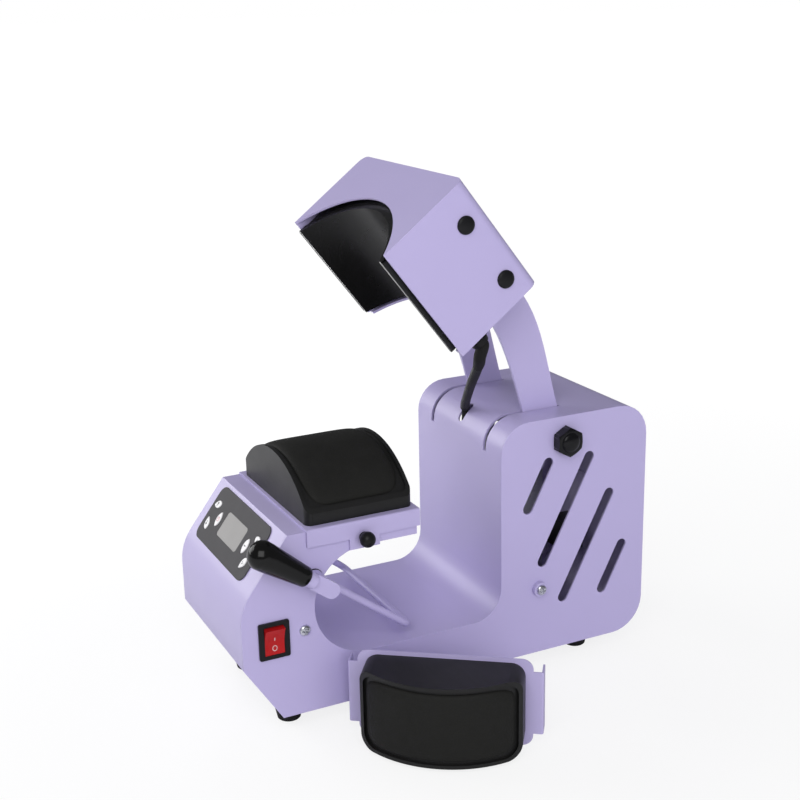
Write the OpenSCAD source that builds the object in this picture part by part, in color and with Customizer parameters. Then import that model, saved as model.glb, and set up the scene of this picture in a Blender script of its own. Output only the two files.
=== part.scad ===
// Cap heat press with a swinging head, a lift-off platen and a spare platen beside it.
// Y runs from the front to the rear, X across the machine and Z up from the bench.
// The origin is the middle of the front right foot's rest face.

/* [Body] */
// Width across the two side plates
body_w = 150; // [144:1:170]
// Length from the front face to the rear panel
body_len = 374; // [366:1:400]
// Thickness of the folded sheet
sheet_t = 2; // [1.5:0.25:2.5]
// Height of the tower above the underside of the plates
tower_h = 210.5; // [209:0.5:225]
// Length of the tower at the rear
tower_len = 144; // [140:1:148]
// Height of the deck that carries the platen
deck_h = 154; // [152:1:156]
// Distance from the front face to the free end of the deck
deck_end = 152; // [148:1:156]
// Height of the low floor between the housing and the tower
floor_h = 42; // [36:1:46]
// Height of the deck's underside
throat_h = 133.5; // [131:0.5:136]
// Distance from the front face to the middle of the round throat
throat_y = 107; // [105:1:112]
// Slope of the control panel
slope_a = 52.7; // [48:0.1:56]
// Distance from the front face to the top edge of the slope
slope_y = 41; // [38:1:44]
// Radius that eases the slope into the front face
face_r = 45; // [30:1:55]
// Length of the chamfer under the front
chamfer_len = 31; // [26:1:34]
// Height of the chamfer under the front
chamfer_h = 48.7; // [40:0.1:52]
// Bend radius between the floor and the tower
floor_r = 26; // [20:1:30]
// Bend radius at the tower's front top edge
top_front_r = 26; // [22:1:28]
// Bend radius at the tower's rear top edge
top_rear_r = 28; // [22:1:32]
// Corner radius at the tower's rear foot
rear_foot_r = 30; // [24:1:34]

/* [Vents and screws] */
// Width of a vent slot
vent_w = 9.5; // [7:0.5:11]
// Lean of the vent slots from upright
vent_a = 27.5; // [20:0.5:35]
// Length of the two long vent slots between their end centres
vent_long = 98; // [84:1:102]
// Length of the two short vent slots between their end centres
vent_short = 42; // [32:1:46]
// Radius of a pan screw head
screw_head_r = 4.7; // [4:0.1:5.5]
// Radius of a screw shank
screw_r = 2.4; // [2:0.1:2.8]
// Thickness of the collar under each tower screw
collar_t = 4; // [2:0.5:5]
// Radius of the cross struts that the side screws enter
strut_r = 6; // [5:0.5:7]

/* [Feet] */
// Height of a rubber foot
foot_h = 15.5; // [12:0.5:18]
// Radius of a rubber foot
foot_r = 12.5; // [11:0.5:14]
// Distance of each foot from the middle plane
foot_x = 49; // [44:1:56]
// Distance of the front feet from the front face
foot_front = 45; // [44:1:52]
// Distance of the rear feet from the rear panel
foot_back = 53; // [48:1:64]

/* [Head] */
// Angle through which the head swings from open to closed
swing_a = 52.5; // [50:0.5:53]
// Distance from the rear panel to the main axle
axle_back = 82.5; // [80:0.5:84]
// Depth of the main axle below the tower's top
axle_drop = 21; // [20:0.5:22.5]
// Radius of the main axle
axle_r = 7.5; // [7:0.25:8]
// Width of the head cover
head_w = 176; // [172:1:182]
// Length of the head cover
head_len = 108; // [106:1:110]
// Distance from the front face to the closed head's front
head_y = 50; // [48:1:52]
// Height of the closed head's lower edge
head_low = 162; // [160:0.5:163]
// Height of the closed head's top
head_top = 246.5; // [246:0.5:252]
// Bend radius along the head's upper edges
head_r = 8; // [5:0.5:10]
// Radius of the arched cut in the head's front
head_arch_r = 105; // [102:0.5:107]
// Thickness of the heater plate
heater_t = 6; // [5:0.5:6.5]
// Length of the heater plate
heater_len = 97; // [95:1:98]
// Radius of the cross bars in the head
bar_r = 5; // [4:0.5:5.5]
// Radius of the round caps on the head's sides
cap_r = 7.3; // [6.5:0.1:9]

/* [Arms] */
// Distance of each arm from the middle plane
arm_x = 46.5; // [44:0.5:50]
// Thickness of an arm
arm_t = 3; // [2.5:0.5:4]
// Side clearance of an arm in its slot
arm_gap = 1; // [0.7:0.1:1.5]
// Radius of an arm round the axle
hub_r = 17.5; // [16:0.5:17.5]

/* [Platen] */
// Width of the platen
platen_w = 140; // [134:1:142]
// Length of the platen along its arch
platen_len = 92; // [84:1:93]
// Height of the platen's crown above its tray
platen_h = 43; // [42:0.5:43.5]
// Radius of the platen's arch
platen_r = 90; // [88:1:94]
// Plan radius of the platen's corners
corner_r = 6; // [5:0.5:10]
// Distance from the platen's edge to its pad
pad_inset = 5; // [4.5:0.5:7]
// Thickness of the pad
pad_t = 4; // [3:0.5:5]
// Height by which the pad stands proud of the platen
pad_proud = 1.5; // [1:0.25:2]
// Width of the groove round the pad
groove_w = 2; // [1:0.25:2.5]
// Thickness of the tray sheet
tray_t = 1.6; // [1.2:0.1:2]
// Length of the tray along the deck
tray_len = 97.5; // [94:0.5:98]
// Depth of the tray's side flanges
flange_h = 14.5; // [12:0.5:17]
// Length of the deep tab in the middle of each flange
tab_len = 26; // [22:1:30]
// Depth of the deep tab below the deck
tab_h = 22; // [20:0.5:23]
// Radius of the clamp knob's ball
ball_r = 6.4; // [5:0.1:7]

/* [Spare platen] */
// Width of the spare platen
spare_w = 126; // [120:1:128]
// Length of the spare platen along its arch
spare_len = 67.5; // [64:0.5:70]
// Height of the spare platen's crown above its tray
spare_h = 48.5; // [44:0.5:50]
// Radius of the spare platen's arch
spare_r = 88; // [86:1:92]
// Length of the spare tray
spare_tray_len = 74; // [72:1:78]
// Plan radius of the spare platen's corners
spare_corner_r = 11; // [8:1:14]
// Length of the spare tray's side flanges
spare_tab_len = 53; // [48:1:56]
// Distance of the spare from the middle plane
spare_x = 140.5; // [140:0.5:160]
// Distance of the spare from the front face
spare_y = 141; // [130:1:155]
// Turn of the spare about its upright axis
spare_turn = 53.9; // [50:0.1:58]

/* [Cap bail] */
// Distance from the front face to the bail's axle
bail_y = 61.5; // [60:0.5:62]
// Height of the bail's axle above the underside of the plates
bail_h = 115; // [114:0.5:116]
// Radius of the bail's round bar
bail_r = 3; // [2.5:0.5:3.5]
// Distance from the side plates' inner faces to the middle of each bail arm
bail_inset = 5.5; // [5:0.5:10]
// Length of the bail from its axle
bail_len = 107; // [100:1:112]
// Angle of the bail below level at rest
bail_a = 37; // [34:0.5:38]
// Angle of the lever above level at rest
lever_a = 36.3; // [34:0.1:40]
// Distance of the lever from the side plate
lever_off = 17; // [16:0.5:20]
// Length of the grip
grip_len = 49; // [44:1:60]
// Radius of the grip at its round end
grip_r = 12; // [10:0.5:13]

/* [Control panel] */
// Width of the dark overlay
overlay_w = 114; // [110:1:120]
// Length of the dark overlay down the slope
overlay_h = 49; // [46:1:49]
// Thickness of the overlay
overlay_t = 1; // [0.8:0.1:1.5]
// Distance of the panel's middle from the machine's middle plane
panel_x = -4.5; // [-6:0.5:4]
// Width of the display
display_w = 45; // [40:1:48]
// Height of the display
display_h = 22; // [18:1:24]
// Radius of a button
button_r = 5; // [4:0.1:5.4]
// Travel of a button
button_travel = 0.8; // [0.5:0.1:1.2]

/* [Switch] */
// Height of the rocker switch's bezel
bezel_h = 31; // [29:0.5:33]
// Width of the rocker switch's bezel
bezel_w = 25.5; // [24:0.5:26]
// Distance from the front face to the middle of the switch
switch_y = 26; // [24:0.5:28]
// Height of the middle of the switch above the underside of the plates
switch_h = 70; // [66:0.5:74]
// Full tilt of the rocker
rocker_a = 18; // [14:1:20]

/* [Drive] */
// Module of the drive teeth
tooth_m = 2; // [2:0.5:2]
// Teeth on the full circle of the drive sector
sector_teeth = 48; // [46:1:48]
// Teeth on the drive pinion
pinion_teeth = 15; // [14:1:17]
// Thickness of the drive sector
sector_t = 8; // [6:0.5:9]

/* [Cable] */
// Radius of the head cable
cable_r = 2.9; // [2.4:0.1:3]
// Radius of the sleeve over the head cable
sleeve_r = 4.1; // [3.6:0.1:4.6]

/* [Hidden] */

lilac = "#B6AEDB";
black = "#1B1B1D";
steel = "#B9BCC2";
round_fn = 64;
seam = 0.3;
half_w = body_w / 2;
in_w = half_w - sheet_t;
bail_x = in_w - bail_inset;
snug = 0.1;
run = 0.05;

tower_y = body_len - tower_len;
axle_y = body_len - axle_back;
axle_h = tower_h - axle_drop;
foot_rear = body_len - foot_back;

// Outline of the body as seen from its right side, in pieces
slope_foot = deck_h - slope_y * tan(slope_a);
face_tan = face_r * tan((90 - slope_a) / 2);
throat_r = (throat_h - floor_h) / 2;
front_path = concat([[chamfer_len, 0], [0, chamfer_h]],
    arc([face_r, slope_foot - face_tan], face_r, 180, 90 + slope_a, 6),
    [[slope_y, deck_h], [deck_end, deck_h]]);
spine_path = concat([[deck_end, throat_h]],
    arc([throat_y, floor_h + throat_r], throat_r, 90, 270, 24),
    arc([tower_y - floor_r, floor_h + floor_r], floor_r, 270, 360, 8),
    arc([tower_y + top_front_r, tower_h - top_front_r], top_front_r, 180, 90, 8),
    arc([body_len - top_rear_r, tower_h - top_rear_r], top_rear_r, 90, 0, 8));
rear_path = concat([[body_len, tower_h - top_rear_r - seam]],
    arc([body_len - rear_foot_r, rear_foot_r], rear_foot_r, 0, -90, 8));

// Places on the body
strut_spots = [[52, 72], [tower_y + 37, 60]];
vent_spots = [[tower_y + 35.6, 153, vent_short], [tower_y + 63.1, 127.2, vent_long],
    [tower_y + 84, 90.3, vent_long], [tower_y + 111.2, 65, vent_short]];
slot_w = arm_t + 2 * arm_gap;
slot_rear = axle_y + 11;
slot_low = tower_h - 28.3;
bolt_in = [26, 20];
bolt_room = 4;
deck_hole = [platen_w - 2 * (bolt_in[0] - screw_head_r - bolt_room),
    platen_len - 2 * (bolt_in[1] - screw_head_r - bolt_room)];
tray_y = deck_end + 2 - tray_len / 2;
panel_hole = [overlay_w - 7, overlay_h - 8];
panel_drop = 28;
overlay_r = 8;
display_r = 3;
key_x = overlay_w / 2 - 10;
key_y = overlay_h / 2 - 16;
button_spots = [[-key_x, key_y], [-display_w / 2 - 9.5, -0.5], [-key_x, -key_y - 1],
    [display_w / 2 + 10.5, -0.5], [key_x - 0.5, key_y + 0.5], [key_x - 2.5, -key_y - 3]];
cover_size = [120, 76];
cover_mid = tower_h - 67.5;
inlet_spot = [-30, 56];
inlet_size = [48, 27];

// The head, drawn closed and swung back to rest
heater_r = platen_r + pad_proud + 0.8;
arch_h = deck_h + tray_t + platen_h - platen_r;
heater_half = head_w / 2 - 6;
heater_y = head_y + (head_len - heater_len) / 2;
box_t = 1.5;
box_low = head_low - 3.5;
heater_low = box_low + 0.2;
box_top = arch_h + heater_r + heater_t + 5;
bar_drop = 20;
bar_h = head_top - bar_drop;
bar_ys = [head_y + 0.2685 * head_len, head_y + 0.7963 * head_len];
stud_x = heater_half - 50;
stud_r = 4;
tie_r = 5;
tie_at = [28, -60];
rear_plate_y = head_y + head_len - sheet_t;
gland_r = 9.5;
gland_x = head_w / 2 - 15;
gland_h = head_low + 21.5;
gland_len = 10.5;
sector_r = tooth_m * sector_teeth / 2;
pinion_r = tooth_m * pinion_teeth / 2;
pinion_h = axle_h - sector_r - pinion_r;

// Route of the head cable from its gland on the open head into the tower
cable_start = opened([rear_plate_y + sheet_t + gland_len + seam, gland_h]);
function from_gland(x, y, z) = [gland_x - x, cable_start[0] + y, cable_start[1] - z];
function from_tower(x, y, z) = [x, tower_y + y, tower_h + z];
cable_route = [from_gland(0, 0, 0), from_gland(0, 2.1, 2.75), from_gland(5, 2.4, 12.7),
    from_gland(16, 6.9, 24.1), from_tower(36, -6.1, 27.5), from_tower(13, 1.6, 6.4),
    from_tower(2, 6.6, -2.9), from_tower(0, 7.7, -11.5), from_tower(0, 7, -22.5),
    from_tower(0, 6.5, -32.5), from_tower(0, 6.5, -45.5), from_tower(0, 6.5, -58.5)];
cable_hole = from_tower(0, 8, -8.4);
cable_end = len(cable_route) - 1;
cable_steps = 3;
cable_sides = 10;

// Points on an arc about c, from angle a0 to a1 in n steps
function arc(c, r, a0, a1, n) = [for (i = [0:n]) let (a = a0 + (a1 - a0) * i / n)
    [c[0] + r * cos(a), c[1] + r * sin(a)]];

// Points on a cubic curve with two end points and two handles
function curve(a, b, c, d, n) = [for (i = [0:n]) let (t = i / n, s = 1 - t)
    a * s * s * s + 3 * b * s * s * t + 3 * c * s * t * t + d * t * t * t];

function unit(v) = v / norm(v);
function turned(v) = [v[1], -v[0]];
function backwards(p) = [for (i = [len(p) - 1:-1:0]) p[i]];

// The path shifted to its right by t, with mitred corners
function beside(p, t) = [for (i = [0:len(p) - 1])
    let (a = unit(p[max(i, 1)] - p[max(i, 1) - 1]),
        b = unit(p[min(i, len(p) - 2) + 1] - p[min(i, len(p) - 2)]))
    p[i] + (turned(a) + turned(b)) * t / (1 + a * b)];

// A point of the closed head, in the side view, moved to the open rest pose
function opened(p) = let (d = p - [axle_y, axle_h], c = cos(swing_a), s = sin(swing_a))
    [axle_y + d[0] * c + d[1] * s, axle_h - d[0] * s + d[1] * c];

// Involute teeth: the half angle of a tooth at radius r
function involute(a) = tan(a) * 180 / PI - a;
function flank(r, rp, n, slack) = 90 / n - slack + involute(20)
    - involute(acos(min(1, rp * cos(20) / r)));
function tooth(rp, n, tip, root, slack) = let (base = max(root, rp * cos(20)))
    concat([[root, -flank(base, rp, n, slack)]],
        [for (i = [0:5]) let (r = base + (tip - base) * i / 5) [r, -flank(r, rp, n, slack)]],
        [for (i = [5:-1:0]) let (r = base + (tip - base) * i / 5) [r, flank(r, rp, n, slack)]],
        [[root, flank(base, rp, n, slack)]]);
function polar(p, turn) = [for (q = p) [q[0] * cos(q[1] + turn), q[0] * sin(q[1] + turn)]];

// Everything is drawn from the front face and the plates' underside, then set on its feet
module machine() {
    translate([-foot_x, -foot_front, foot_h]) children();
}

// A side-view outline given depth from x0 to x1
module across(x0, x1) {
    translate([x0, 0, 0]) rotate([90, 0, 90]) linear_extrude(x1 - x0) children();
}

// A front-view outline given length from y0 to y1
module along(y0, y1) {
    translate([0, y1, 0]) rotate([90, 0, 0]) linear_extrude(y1 - y0) children();
}

module sheet(path) {
    across(-in_w, in_w) polygon(concat(path, backwards(beside(path, sheet_t))));
}

// A round bar or hole along X at a point of the side view
module bar(spot, r, x0, x1) {
    translate([x0, spot[0], spot[1]]) rotate([0, 90, 0]) cylinder(r = r, h = x1 - x0, $fn = round_fn);
}

module swung() {
    translate([0, axle_y, axle_h]) rotate([-swing_a, 0, 0]) translate([0, -axle_y, -axle_h]) children();
}

// The control panel's own frame: X across, Y up the slope, Z out of it
module on_slope() {
    translate([panel_x, slope_y, deck_h]) rotate([slope_a, 0, 0]) translate([0, -panel_drop, 0])
        children();
}

module rounded_block(w, l, r, h) {
    translate([-w / 2 + r, -l / 2, 0]) cube([w - 2 * r, l, h]);
    translate([-w / 2, -l / 2 + r, 0]) cube([w, l - 2 * r, h]);
    for (x = [-1, 1], y = [-1, 1])
        translate([x * (w / 2 - r), y * (l / 2 - r), 0]) cylinder(r = r, h = h, $fn = round_fn);
}

module slot_shape(len, w) {
    square([w, len], center = true);
    translate([0, len / 2]) circle(d = w, $fn = 32);
    translate([0, -len / 2]) circle(d = w, $fn = 32);
}

module pan_screw(len) {
    cylinder(r1 = screw_head_r, r2 = screw_head_r - 1.2, h = 2.8, $fn = 32);
    translate([0, 0, -len]) cylinder(r = screw_r, h = len, $fn = 32);
}

module side_plate() {
    difference() {
        across(0, sheet_t) polygon(concat(front_path, spine_path, rear_path));
        for (v = vent_spots)
            across(-1, sheet_t + 1) translate([v[0], v[1]]) rotate(-vent_a) slot_shape(v[2], vent_w);
        for (s = strut_spots) bar(s, screw_r + snug, -1, sheet_t + 1);
        bar([axle_y, axle_h], axle_r + snug, -1, sheet_t + 1);
        bar([bail_y, bail_h], bail_bush_r + snug, -1, sheet_t + 1);
    }
}
bail_bush_r = bail_r + 3.4;

module side_plate_right() {
    color(lilac) machine() difference() {
        translate([in_w, 0, 0]) side_plate();
        translate([in_w - 1, switch_y - bezel_w / 2 + 1.5, switch_h - bezel_h / 2 + 1.5])
            cube([sheet_t + 2, bezel_w - 3, bezel_h - 3]);
    }
}

module side_plate_left() {
    color(lilac) machine() translate([-half_w, 0, 0]) side_plate();
}

module front_cover() {
    color(lilac) machine() difference() {
        sheet(concat(front_path, [[deck_end, throat_h + sheet_t]]));
        translate([-deck_hole[0] / 2, tray_y - deck_hole[1] / 2, deck_h - sheet_t - 1])
            cube([deck_hole[0], deck_hole[1], sheet_t + 2]);
        on_slope() translate([-panel_hole[0] / 2, -panel_hole[1] / 2, -sheet_t - 1])
            cube([panel_hole[0], panel_hole[1], sheet_t + 2]);
    }
}

module spine_sheet() {
    color(lilac) machine() difference() {
        sheet(spine_path);
        for (x = [-arm_x, arm_x])
            translate([x - slot_w / 2, tower_y - 1, slot_low])
                cube([slot_w, slot_rear - tower_y + 1, tower_h - slot_low + 1]);
        for (x = [-bail_x, bail_x])
            bar([bail_y, bail_h], 16, x - bail_r - 1, x + bail_r + 1);
        translate(cable_hole) rotate([45, 0, 0]) translate([0, 0, -7])
            rounded_block(2 * cable_r + 3, 2 * cable_r + 13, cable_r + 1.4, 12);
    }
}

module rear_panel() {
    color(lilac) machine() difference() {
        sheet(rear_path);
        translate([-cover_size[0] / 2 + 12, body_len - sheet_t - 1, cover_mid - cover_size[1] / 2 + 12])
            cube([cover_size[0] - 24, sheet_t + 2, cover_size[1] - 24]);
        translate([inlet_spot[0], body_len - sheet_t - 1, inlet_spot[1]]) inlet_body(sheet_t + 2, snug);
        for (s = rear_screw_spots)
            translate([s[0], body_len + 1, s[1]]) rotate([90, 0, 0])
                cylinder(r = screw_r + snug, h = sheet_t + 2, $fn = 32);
    }
}
rear_screw_spots = [for (x = [-1, 1], z = [-1, 1])
    [x * (cover_size[0] / 2 - 6), cover_mid + z * (cover_size[1] / 2 - 6)]];

module rear_cover() {
    color(lilac) machine() difference() {
        translate([0, body_len + sheet_t - 0.5, cover_mid]) rotate([90, 0, 0])
            rounded_block(cover_size[0], cover_size[1], 4, sheet_t - 0.5);
        for (s = rear_screw_spots)
            translate([s[0], body_len + 3, s[1]]) rotate([90, 0, 0])
                cylinder(r = screw_r + snug, h = 4, $fn = 32);
    }
}

module base_plate() {
    color(lilac) machine() difference() {
        translate([-in_w, chamfer_len + sheet_t, 0])
            cube([2 * in_w, body_len - rear_foot_r - seam - chamfer_len - sheet_t, sheet_t]);
        for (s = foot_spots) translate([s[0], s[1], -1]) cylinder(r = screw_r + snug, h = 9, $fn = 32);
    }
}
foot_spots = [for (x = [-foot_x, foot_x], y = [foot_front, foot_rear]) [x, y]];

module feet() {
    color(black) machine() for (s = foot_spots) translate([s[0], s[1], -foot_h]) difference() {
        rotate_extrude($fn = round_fn) polygon([[0, 0], [foot_r - 4, 0], [foot_r - 3, 1],
            [foot_r, foot_h], [0, foot_h]]);
        translate([0, 0, foot_h - 6]) cylinder(r = screw_r + snug, h = 7, $fn = 32);
    }
}

module cross_struts() {
    color(steel) machine() for (s = strut_spots) difference() {
        bar(s, strut_r, -in_w, in_w);
        for (side = [-1, 1]) bar(s, screw_r + snug, side * (in_w - 7) - 8, side * (in_w - 7) + 8);
    }
}

// Pan screws of the rear cover, the feet and the side plates
module case_screws() {
    color(steel) machine() {
        for (s = rear_screw_spots)
            translate([s[0], body_len + sheet_t - 0.5, s[1]]) rotate([-90, 0, 0]) pan_screw(7);
        for (s = foot_spots) translate([s[0], s[1], sheet_t]) pan_screw(6.5);
        for (side = [-1, 1], i = [0, 1])
            translate([side * (half_w + i * collar_t), strut_spots[i][0], strut_spots[i][1]])
                rotate([0, side * 90, 0]) pan_screw(12);
    }
}

module screw_collars() {
    color(lilac) machine() for (side = [-1, 1]) difference() {
        bar(strut_spots[1], 6.5, side > 0 ? half_w : -half_w - collar_t,
            side > 0 ? half_w + collar_t : -half_w);
        bar(strut_spots[1], screw_r + snug, side * half_w - 6, side * half_w + 6);
    }
}

module pivot_axle() {
    color(steel) machine() bar([axle_y, axle_h], axle_r, -half_w - axle_end, half_w + axle_end);
}

// Hexagon cap nut with chamfered corners and a low dome
nut_across = 3 * axle_r;
nut_h = 10;
axle_end = 8;
module cap_nut() {
    difference() {
        intersection() {
            cylinder(d = nut_across / cos(30), h = nut_h + 3, $fn = 6);
            rotate_extrude($fn = round_fn) polygon(concat([[0, 0], [nut_across / 2 + 0.6, 0],
                [nut_across, 3], [nut_across, nut_h - 2], [nut_across / 2, nut_h]],
                [for (a = [15:15:90]) [(nut_across / 2 - 1.6) * cos(a), nut_h + 2.4 * sin(a)]]));
        }
        translate([0, 0, -1]) cylinder(r = axle_r + snug, h = axle_end + 1.3, $fn = round_fn);
    }
}

module axle_nuts() {
    color(black) machine() for (side = [-1, 1])
        translate([side * half_w, axle_y, axle_h]) rotate([0, side * 90, 0]) cap_nut();
}

module tube(spot, r_in, r_out, x0, x1) {
    difference() {
        bar(spot, r_out, x0, x1);
        bar(spot, r_in, x0 - 1, x1 + 1);
    }
}

arm_out = arm_x + arm_t / 2;
bush_flange = 2;
bush_len = 20;
bush_r = axle_r + 2;
axle_spot = [axle_y, axle_h];

module axle_spacers() {
    color(steel) machine() for (side = [0, 1]) mirror([side, 0, 0])
        tube(axle_spot, axle_r + snug, axle_r + 3, arm_out + bush_flange + 0.3, in_w);
}

module gearmotor() {
    color("#6A6E75") machine() difference() {
        union() {
            translate([gear_x0, axle_y - 23, pinion_h - 28]) cube([gear_w, 46, 48]);
            translate([bracket_x - motor_r - 0.3, axle_y, 28])
                cylinder(r = motor_r, h = pinion_h - 56, $fn = 48);
        }
        bar([axle_y, pinion_h], 4 + run, gear_x0 + 2, gear_x0 + gear_w + 1);
    }
}
bracket_x = -sector_t / 2 - 8;
bracket_t = 3;
bracket_foot = 34;
motor_r = 17;
gear_w = arm_x - arm_t - 15.5;
gear_x0 = bracket_x - gear_w;

module motor_bracket() {
    color(steel) machine() difference() {
        along(axle_y - motor_r, axle_y + 31) polygon([[bracket_x, sheet_t],
            [bracket_x + bracket_foot, sheet_t], [bracket_x + bracket_foot, sheet_t + bracket_t],
            [bracket_x + bracket_t, sheet_t + bracket_t],
            [bracket_x + bracket_t, pinion_h + 21], [bracket_x, pinion_h + 21]]);
        bar([axle_y, pinion_h], 7, bracket_x - 1, bracket_x + bracket_t + 1);
    }
}

// Block on the tower's front wall in which the head's cable ends
module terminal_block() {
    color("#E4E1D8") machine() difference() {
        translate([-12, tower_y + sheet_t, cable_route[cable_end][2] - 18]) cube([24, 13, 18]);
        for (x = [-6, 6]) translate([x, tower_y, cable_route[cable_end][2] - 9]) rotate([-90, 0, 0])
            translate([0, 0, 9]) cylinder(r = 2.2, h = 9, $fn = 32);
    }
}

module bail_bushes() {
    color(black) machine() for (side = [0, 1]) mirror([side, 0, 0]) difference() {
        union() {
            bar([bail_y, bail_h], bail_bush_r, in_w, half_w);
            bar([bail_y, bail_h], bail_bush_r + 1, half_w, half_w + 1);
        }
        bar([bail_y, bail_h], bail_r + 1 + run, in_w - 1, half_w + 2);
    }
}

module panel_overlay() {
    color("#5B5C60") machine() on_slope() difference() {
        rounded_block(overlay_w, overlay_h, overlay_r, overlay_t);
        translate([0, 0, -1]) rounded_block(display_w, display_h, display_r, overlay_t + 2);
        for (s = button_spots) translate([s[0], s[1], -1]) cylinder(r = button_r + 0.3, h = 4, $fn = 48);
    }
}

module display_window() {
    color("#B5B7B4") machine() on_slope()
        rounded_block(display_w - 0.1, display_h - 0.1, display_r, overlay_t - 0.2);
}

module display_module() {
    color("#3E5C45") machine() on_slope()
        translate([-display_w / 2 - 2, -display_h / 2 - 2, -board_drop])
        cube([display_w + 4, display_h + 4, board_drop]);
}
board_drop = 9;
board_t = 1.6;
board_size = [overlay_w - 6, overlay_h + 3];

module control_board() {
    color("#2E6B41") machine() on_slope() {
        difference() {
            translate([-board_size[0] / 2, -board_size[1] / 2, -board_drop - board_t])
                cube([board_size[0], board_size[1], board_t]);
            for (s = post_spots) translate([s[0], s[1], -board_drop - 3])
                cylinder(r = 1.6, h = 4, $fn = 24);
        }
        for (s = button_spots) translate([s[0] - 3, s[1] - 3, -board_drop]) cube([6, 6, 3.4]);
    }
}
post_spots = [for (x = [-1, 1], y = [-1, 1])
    [x * (board_size[0] / 2 - 4), y * (board_size[1] / 2 - 2.8)]];

module board_posts() {
    color(steel) machine() on_slope() for (s = post_spots) translate([s[0], s[1], 0]) {
        translate([0, 0, -board_drop]) cylinder(r = 2, h = board_drop - sheet_t - 0.05, $fn = 24);
        translate([0, 0, -board_drop - 2.6]) cylinder(r = 1.5, h = 2.6, $fn = 24);
    }
}

// A button cap with a thin stem that ends above its switch on the board
module button(i) {
    color("white") machine() on_slope() translate([button_spots[i][0], button_spots[i][1], 0]) {
        cylinder(r = button_r, h = overlay_t + 0.6, $fn = 48);
        translate([0, 0, -board_drop + 3.4 + button_travel + 0.3])
            cylinder(r = 1.6, h = board_drop - 3.4 - button_travel, $fn = 24);
    }
}

module button_up() {
    button(0);
}

module button_clock() {
    button(1);
}

module button_down() {
    button(2);
}

module button_minus() {
    button(3);
}

module button_plus() {
    button(4);
}

module button_start() {
    button(5);
}

// The switch is drawn with Z out of the side plate, X to the rear and Y up
module on_side() {
    translate([half_w, switch_y, switch_h]) rotate([90, 0, 90]) children();
}
rocker_w = bezel_w - 9.2;
rocker_h = bezel_h - 7.4;
rocker_drop = 2;

module switch_bezel() {
    color(black) machine() on_side() difference() {
        union() {
            rounded_block(bezel_w, bezel_h, 1.5, 2);
            translate([-bezel_w / 2 + 2, -bezel_h / 2 + 2, -18]) cube([bezel_w - 4, bezel_h - 4, 18]);
        }
        translate([-rocker_w / 2 - 0.2, -rocker_h / 2 - 0.3, -12])
            cube([rocker_w + 0.4, rocker_h + 0.6, 16]);
        translate([-rocker_w / 2 - 1.6, 0, -rocker_drop]) rotate([0, 90, 0])
            cylinder(r = 1.2 + run, h = rocker_w + 3.2, $fn = 32);
    }
}

// The rocker's two faces meet in a shallow valley over its pins
module switch_rocker() {
    color("red") machine() on_side() translate([0, 0, -rocker_drop]) rotate([rocker_a / 2, 0, 0]) {
        translate([-rocker_w / 2, 0, 0]) rotate([90, 0, 90]) linear_extrude(rocker_w)
            polygon(concat([[-rocker_h / 2 + 0.6, -1.5]],
                [for (i = [-6:6]) [i * (rocker_h / 2 - 0.6) / 6, 3.6 + 1.9 * pow(abs(i / 6), 1.6)]],
                [[rocker_h / 2 - 0.6, -1.5], [3, -5], [-3, -5]]));
        translate([-rocker_w / 2 - 1.4, 0, 0]) rotate([0, 90, 0])
            cylinder(r = 1.2, h = rocker_w + 2.8, $fn = 32);
    }
}

module inlet_body(depth, grow) {
    translate([-inlet_size[1] / 2 - grow, 0, -inlet_size[0] / 2 + 10 - grow])
        cube([inlet_size[1] + 2 * grow, depth, inlet_size[0] - 20 + 2 * grow]);
}

module power_inlet() {
    color(black) machine() translate([inlet_spot[0], body_len, inlet_spot[1]]) difference() {
        union() {
            translate([0, -24, 0]) inlet_body(24, 0);
            translate([0, 2.5, 0]) rotate([90, 0, 0])
                rounded_block(inlet_size[1] + 4, inlet_size[0], 4, 2.5);
        }
        translate([-inlet_size[1] / 2 + 2, -15, -inlet_size[0] / 2 + 14])
            cube([inlet_size[1] - 4, 20, inlet_size[0] - 28]);
    }
    color(steel) machine() for (x = [-7, 0, 7])
        translate([inlet_spot[0] + x - 1, body_len - 15, inlet_spot[1] - 3 + (x == 0 ? 3 : 0)])
            cube([2, 12, 5]);
}

// Smooth route through the cable's points
function blend4(a, b, c, d, t) = 0.5 * (2 * b + (c - a) * t + (2 * a - 5 * b + 4 * c - d) * t * t
    + (3 * b - a - 3 * c + d) * t * t * t);
cable_line = [for (i = [0:cable_end - 1], k = [0:cable_steps - 1])
    blend4(cable_route[max(i - 1, 0)], cable_route[i], cable_route[i + 1],
        cable_route[min(i + 2, cable_end)], k / cable_steps), cable_route[cable_end]];
cable_last = len(cable_line) - 1;
// The sleeve covers the stretch from the first bend to the tower
sleeve_span = [3, 15];
function cable_at(i) = let (r = i >= sleeve_span[0] && i <= sleeve_span[1] ? sleeve_r : cable_r,
        d = i == 0 ? unit(cable_route[1] - cable_route[0])
            : unit(cable_line[min(i + 1, cable_last)] - cable_line[i - 1]),
        side = unit([1, 0, 0] - d[0] * d), up = cross(d, side))
    [for (k = [0:cable_sides - 1]) let (a = 360 * k / cable_sides)
        cable_line[i] + r * (side * cos(a) + up * sin(a))];

module head_cable() {
    n = cable_sides;
    color(black) machine() polyhedron(
        points = [for (i = [0:cable_last]) each cable_at(i)],
        faces = concat([[for (k = [0:n - 1]) k]],
            [for (i = [0:cable_last - 1], k = [0:n - 1])
                [i * n + (k + 1) % n, i * n + k, (i + 1) * n + k]],
            [for (i = [0:cable_last - 1], k = [0:n - 1])
                [i * n + (k + 1) % n, (i + 1) * n + k, (i + 1) * n + (k + 1) % n]],
            [[for (k = [n - 1:-1:0]) cable_last * n + k]]));
}

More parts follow.
